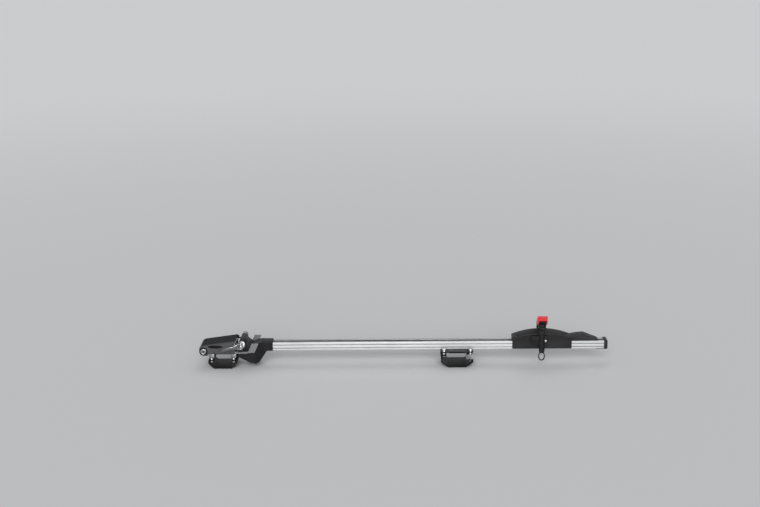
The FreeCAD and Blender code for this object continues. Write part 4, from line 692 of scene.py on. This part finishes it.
def make_feet():
    """Plates, pads, blocks, jaws and bolts with eased edges, and the nuts of both feet."""
    for name, width in (("front_base", 0.8), ("front_pad", 0.5), ("front_clamp_blocks", 1.2),
                        ("front_jaw", 0.8), ("front_bolts", 0.5), ("rear_plate", 0.8), ("rear_pad", 0.5),
                        ("rear_jaw", 0.8), ("rear_clamp_blocks", 1.2), ("rear_bolts", 0.5),
                        ("rear_slider", 0.3), ("slider_screws", 0.3), ("base_screws", 0.3),
                        ("neck_screws", 0.4), ("neck_nut_plate", 0.3)):
        softened(name, width)
    for x in (-38, 38):
        for y in BOLT_ROWS:
            dressed(bored_nut(f"front_nut_{x + 38}_{y + 37}", (x, y), 8, 14), "front_nuts")
    for x in (760, 850):
        for y in BOLT_ROWS:
            dressed(bored_nut(f"rear_cap_nut_{x}_{y + 37}", (x, y), 6, 12, dome=5.6), "rear_nuts")


# Rail

def rail_section():
    """Half of the extrusion's section in Y and Z, mirrored: lips 2.4 thick, walls 2.2, two side grooves."""
    half = [(15.8, 18.7), (15.8, 8.7), (6.5, 8.7), (6.5, 6.3), (18, 6.3)]
    for middle in (12.9, 24.2):
        half += [(18, middle - 1.15), (17.0, middle - 0.95), (17.0, middle + 0.95), (18, middle + 1.15)]
    half += [(18, 33.3), (6.5, 33.3), (6.5, 30.9), (15.8, 30.9), (15.8, 20.9)]
    reach = [0.8, 0.8, 0.4, 0.4, 1.0] + [0.25] * 8 + [1.0, 0.4, 0.4, 0.8, 0.8]
    corners = half + [(-y, z) for y, z in reversed(half)]
    return rounded(corners, reach + reach[::-1], 5)


def make_rail():
    """Extrusion carried along X, and its end cap."""
    dressed(carried("rail_extrusion", rail_section(), X, 145.2, 1309.8, 0.25, 3), "rail")
    softened("rail_end_cap", 1.2, 3)


# Tray

def mouth_height(x):
    """Top edge of the trough's walls: an arc of 292.4 mm radius, 65 mm high in the middle and no lower than
    47 mm."""
    radius, middle, top = 292.4, 1096.5, 65
    return np.maximum(top - radius + np.sqrt(radius ** 2 - (x - middle) ** 2), 47.0)


def trough_points():
    """Section of the trough carried along X: skirts over the rail, walls that lean out by 0.3 and a rolled
    edge. To cut the wall down to mouth_height, each point moves down by a share of the cut that grows up
    the wall, and in by 0.3 of that. The floor has ribs every 8 mm, 0.7 clip(3 sin)."""
    first, last, floor, edge = 995.3, 1198.2, 37.6, 65
    half = bend([(0, 33.7), (18.2, 33.7), (18.2, 7.0), (21.1, 7.0), (21.1, 33.6), (29.3, 60.5), (30.5, 61.2),
                 (30.5, 64.2), (29.6, edge), (27.6, edge), (19.2, floor), (0, 36.6)],
                (0.6, 1.0, 1.0, 3.0, 0.5, 0.3, 0.6, 0.5, 0.6, 3.0), 5)
    between = half[:-1, None] + (half[1:] - half[:-1])[:, None] * np.array([0.5, 1.0])[None, :, None]
    half = np.vstack([half[:1], between.reshape(-1, 2)])
    ring = np.vstack([half, half[-2:0:-1] * (-1, 1)])
    along = np.linspace(0, 1, 220)
    x = first + along[:, None] * (last - first) + np.zeros(len(ring))[None]
    y = np.broadcast_to(ring[:, 0], x.shape).copy()
    z = np.broadcast_to(ring[:, 1], x.shape).copy()
    share = np.clip((ring[:, 1] - floor) / (61 - floor), 0, 1)
    lower = (edge - mouth_height(x)) * share
    z -= lower
    y -= np.sign(y) * lower * 0.30
    inside = (ring[:, 1] > 36.5) & (ring[:, 1] < 37.4) & (np.abs(ring[:, 0]) < 16)
    z += inside * 0.7 * np.clip(np.sin(x / 8 * 2 * np.pi) * 3, 0, 1)
    return np.stack([x, y, z], -1)


def make_tray():
    """Trough, the ramps before and behind it with their treads, and the tray's small parts."""
    dressed(surface("tray_trough", trough_points()), "wheel_tray")
    top = bend([(1148, 38.6), (1187, 49.1), (1215, 54.6), (1240, 56.6), (1290, 36.3), (1290, 33.6)],
               (10, 10, 5, 0.6))
    rear = np.vstack([top, [(1148, 33.6)]])
    dressed(carried("tray_rear_ramp", rear, Y, -RAMP_HALF_WIDTH, RAMP_HALF_WIDTH, 1.6), "wheel_tray")
    treads = []
    for x in range(1205, 1284, 7):
        z = float(np.interp(x, top[:, 0], top[:, 1]))
        bar = rounded([(x - 1.5, z - 1), (x - 1.2, z + 0.5), (x + 1.2, z + 0.5), (x + 1.5, z - 1)], 0.3, 3)
        treads.append(carried(f"tread_{x}", bar, Y, -14, 14, 0.5, 3))
    dressed(joined("tray_ramp_treads", treads), "wheel_tray")
    front = rounded([(1044, 33.8), (1044, 38.6), (996.5, 49.1), (996.5, 33.8)], 1.0)
    dressed(carried("tray_front_ramp", front, Y, -RAMP_HALF_WIDTH, RAMP_HALF_WIDTH, 1.2), "wheel_tray")
    softened("tray_slide_plates", 0.3)
    softened("tray_screws", 0.3)
    for word in ("near", "far"):
        softened(f"strap_anchor_{word}", 1.0, 3, "buckle_plastic")
        softened(f"anchor_pin_{word}", 0.2)
        softened(f"anchor_screw_{word}", 0.4)


# Straps and buckle

def ladder_teeth(path):
    """Heights of teeth of 5 mm pitch: a ramp of 1.9 mm over four fifths of it that falls back over the last
    fifth, on the strap's free tail only."""
    phase = (travelled(path) / 5.0) % 1.0
    tooth = np.where(phase < 0.8, phase / 0.8, (1 - phase) / 0.2) * 1.9
    on_tail = (path[:, 0] < -41) & (path[:, 1] > 10) & (path[:, 1] < 66)
    return tooth * on_tail


def swept(name, path, inner, outer):
    """Strap along a line in the plane x = STRAP_X: each row is a rounded strip between two distances from the
    line, and its outer face also has the ladder's teeth over the middle 12 mm."""
    tangent = np.gradient(path, axis=0)
    tangent /= np.linalg.norm(tangent, axis=1, keepdims=True)
    normal = np.stack([tangent[:, 1], -tangent[:, 0]], 1)
    w = STRAP_HALF_WIDTH
    across = np.array([-w + 0.5, -w, -w, -w + 0.5, -6.5, -6, 6, 6.5, w - 0.5, w, w, w - 0.5])
    level = np.array([0, 0.35, 0.65, 1, 1, 1, 1, 1, 1, 0.65, 0.35, 0])
    raised = np.array([0, 0, 0, 0, 0, 1, 1, 0, 0, 0, 0, 0])
    height = inner + (outer - inner) * level
    reach = height[None] + raised[None] * ladder_teeth(path)[:, None]
    points = np.empty((len(path), len(across), 3))
    points[:, :, 0] = STRAP_X + across
    points[:, :, 1] = path[:, :1] + normal[:, :1] * reach
    points[:, :, 2] = path[:, 1:] + normal[:, 1:] * reach
    return surface(name, points)


def around(corners, reach, centre, angle):
    """Rounded outline as its distance from a centre along each direction."""
    outline = rounded(corners, reach, 10)
    outline = resampled(np.vstack([outline, outline[:1]]), 600)[:-1]
    gap = outline - centre
    bearing = np.unwrap(np.arctan2(gap[:, 1], gap[:, 0]))
    order = np.argsort(bearing % (2 * np.pi))
    bearing, length = (bearing % (2 * np.pi))[order], np.linalg.norm(gap, axis=1)[order]
    length = np.interp(angle, bearing, length, period=2 * np.pi)
    return np.stack([centre[0] + length * np.cos(angle), centre[1] + length * np.sin(angle)], 1)


def finger_ring():
    """Ring at the strap's end: a section with eased corners, carried round between an outer and an inner
    outline. Each of its eight corners lies at a Y and at a share of the way from one outline to the other."""
    middle, angle = (STRAP_X, -12), np.linspace(0, 2 * np.pi, 96, endpoint=False)
    outer = around([(1103, 8), (1100.5, 1.5), (1105, -8), (1103.5, -21), (1098, -28), (1088, -28),
                    (1082.5, -21), (1081, -8), (1085.5, 1.5), (1083, 8)],
                   (0.8, 2.5, 4.5, 4.4, 4.4, 4.4, 4.4, 4.5, 2.5, 0.8), middle, angle)
    inner = around([(1098, -1), (1101.4, -8), (1100.1, -19.4), (1096.2, -24.6), (1089.8, -24.6),
                    (1085.9, -19.4), (1084.6, -8), (1088, -1)],
                   (3.8, 3.8, 3.2, 3.1, 3.1, 3.2, 3.8, 3.8), middle, angle)
    corners = ((0.06, -44.0), (0.0, -43.6), (0.0, -41.4), (0.06, -41.0),
               (0.94, -41.0), (1.0, -41.5), (1.0, -43.5), (0.94, -44.0))
    rings = []
    for share, y in corners:
        outline = outer * (1 - share) + inner * share
        rings.append(np.stack([outline[:, 0], np.full(len(outline), y), outline[:, 1]], 1))
    return np.stack(rings, 1)


def make_straps():
    """Ladder strap over the trough and down its free tail, the buckle's strap, their eyes and the ring."""
    line = bend([(EYE_Y, EYE_Z), (33.5, 84), (22, 101), (10, 105.5), (-12, 105.5), (-23, 121), (-33.5, 118),
                 (-33.5, 86), (-42.5, 70), (-42.5, 8)], (7, 4.5, 3, 7, 4.9, 5.2, 4, 4), 12)
    thick = STRAP_HALF_THICKNESS
    dressed(swept("ladder_strap_band", resampled(line, 620), -thick, thick), "ladder_strap")
    line = bend([(-27.7, 99), (-27.7, 84.5), (-33.5, 79), (-EYE_Y, EYE_Z)], (3, 3), 8)
    dressed(swept("buckle_strap_band", resampled(line, 90), thick, -thick), "buckle_strap")
    eye = [(1.6, -9.9), (2.8, -9.9), (3.1, -9.6), (3.1, 9.6), (2.8, 9.9), (1.6, 9.9)]
    for word, y, name in (("near", -EYE_Y, "buckle_strap"), ("far", EYE_Y, "ladder_strap")):
        dressed(turned(f"strap_eye_{word}", eye, (STRAP_X, y, EYE_Z), X, closed=True, segments=40), name)
    dressed(surface("finger_pull", finger_ring(), closed=True), "ladder_strap")


def make_buckle():
    """The buckle's solids with eased edges."""
    softened("buckle_body", 0.7, 3)
    softened("buckle_rivets", 0.3)
    softened("ratchet_pin", 0.4)
    softened("pawl_pin", 0.3)
    softened("ratchet_lever", 0.9, 3)
    softened("drive_pawl", 0.3, slot="black_metal")
    softened("holding_pawl", 0.3)


# Studio

def seen_ray(tree):
    """1 on rays from the camera or from a gloss, else 0."""
    path = node(tree, "ShaderNodeLightPath").outputs
    return maths(tree, "MAXIMUM", path["Is Camera Ray"], path["Is Glossy Ray"])


def make_floor():
    """Plain floor. Far from the part the camera sees it a little lighter, so that the backdrop stays pale."""
    mesh = bpy.data.meshes.new("studio_floor")
    reach, low = 60.0, -0.0515
    corners = [(-reach, -reach, low), (reach, -reach, low), (reach, reach, low), (-reach, reach, low)]
    mesh.from_pydata(corners, [], [(0, 1, 2, 3)])
    floor = added("studio_floor", mesh)
    material = bpy.data.materials.new("pale_floor")
    material.use_nodes = True
    tree = material.node_tree
    shader = tree.nodes["Principled BSDF"]
    shader.inputs["Base Color"].default_value = (0.78, 0.785, 0.79, 1)
    shader.inputs["Roughness"].default_value = 0.9
    shader.inputs["Specular IOR Level"].default_value = 0.0
    shader.inputs["Emission Color"].default_value = STUDIO_WHITE
    gap = node(tree, "ShaderNodeVectorMath", {"operation": "DISTANCE"}, i1=(0.65, 0.0, low))
    tree.links.new(node(tree, "ShaderNodeTexCoord").outputs["Object"], gap.inputs[0])
    far = node(tree, "ShaderNodeMapRange", {"interpolation_type": "SMOOTHSTEP"}, Value=gap.outputs["Value"],
               From_Min=0.6, From_Max=9.0, To_Min=0.0, To_Max=0.10)
    tree.links.new(product(tree, far.outputs["Result"], seen_ray(tree)), shader.inputs["Emission Strength"])
    mesh.materials.append(material)


def make_lights():
    """Even soft light: a wide low key from the front, a weak high fill from behind and a pale world."""
    world = bpy.data.worlds.new("studio")
    world.use_nodes = True
    tree = world.node_tree
    back = tree.nodes["Background"]
    back.inputs["Color"].default_value = STUDIO_WHITE
    tree.links.new(spread(tree, seen_ray(tree), 0.0, 1.0, 0.26, 0.62), back.inputs["Strength"])
    bpy.context.scene.world = world
    for name, place, power, width in (("front_key", (-0.1, -4.6, 1.9), 2.5, 48.0),
                                      ("back_fill", (0.4, 2.0, 3.6), 0.30, 40.0)):
        light = bpy.data.lights.new(name, "SUN")
        light.energy = power
        light.angle = np.radians(width)
        lamp = added(name, light)
        lamp.location = place
        x, y, z = place
        lamp.rotation_euler = (np.arctan2(np.hypot(x, y), z), 0.0, np.arctan2(x, -y))


def make_camera():
    """Camera at the fitted place, in metres and degrees."""
    camera = bpy.data.cameras.new("photo_view")
    camera.sensor_width = 36.0
    camera.lens = 54.47
    camera.clip_end = 200.0
    thing = added("photo_view", camera)
    thing.location = (0.587507, -3.764116, 1.329881)
    thing.rotation_euler = np.radians((75.314189, 0.541706, 0.530139))
    bpy.context.scene.camera = thing


make_head()
make_cover()
make_lock()
make_skewer()
make_feet()
make_rail()
make_tray()
make_straps()
make_buckle()
make_floor()
make_lights()
make_camera()
bpy.context.scene.view_settings.view_transform = "Standard"
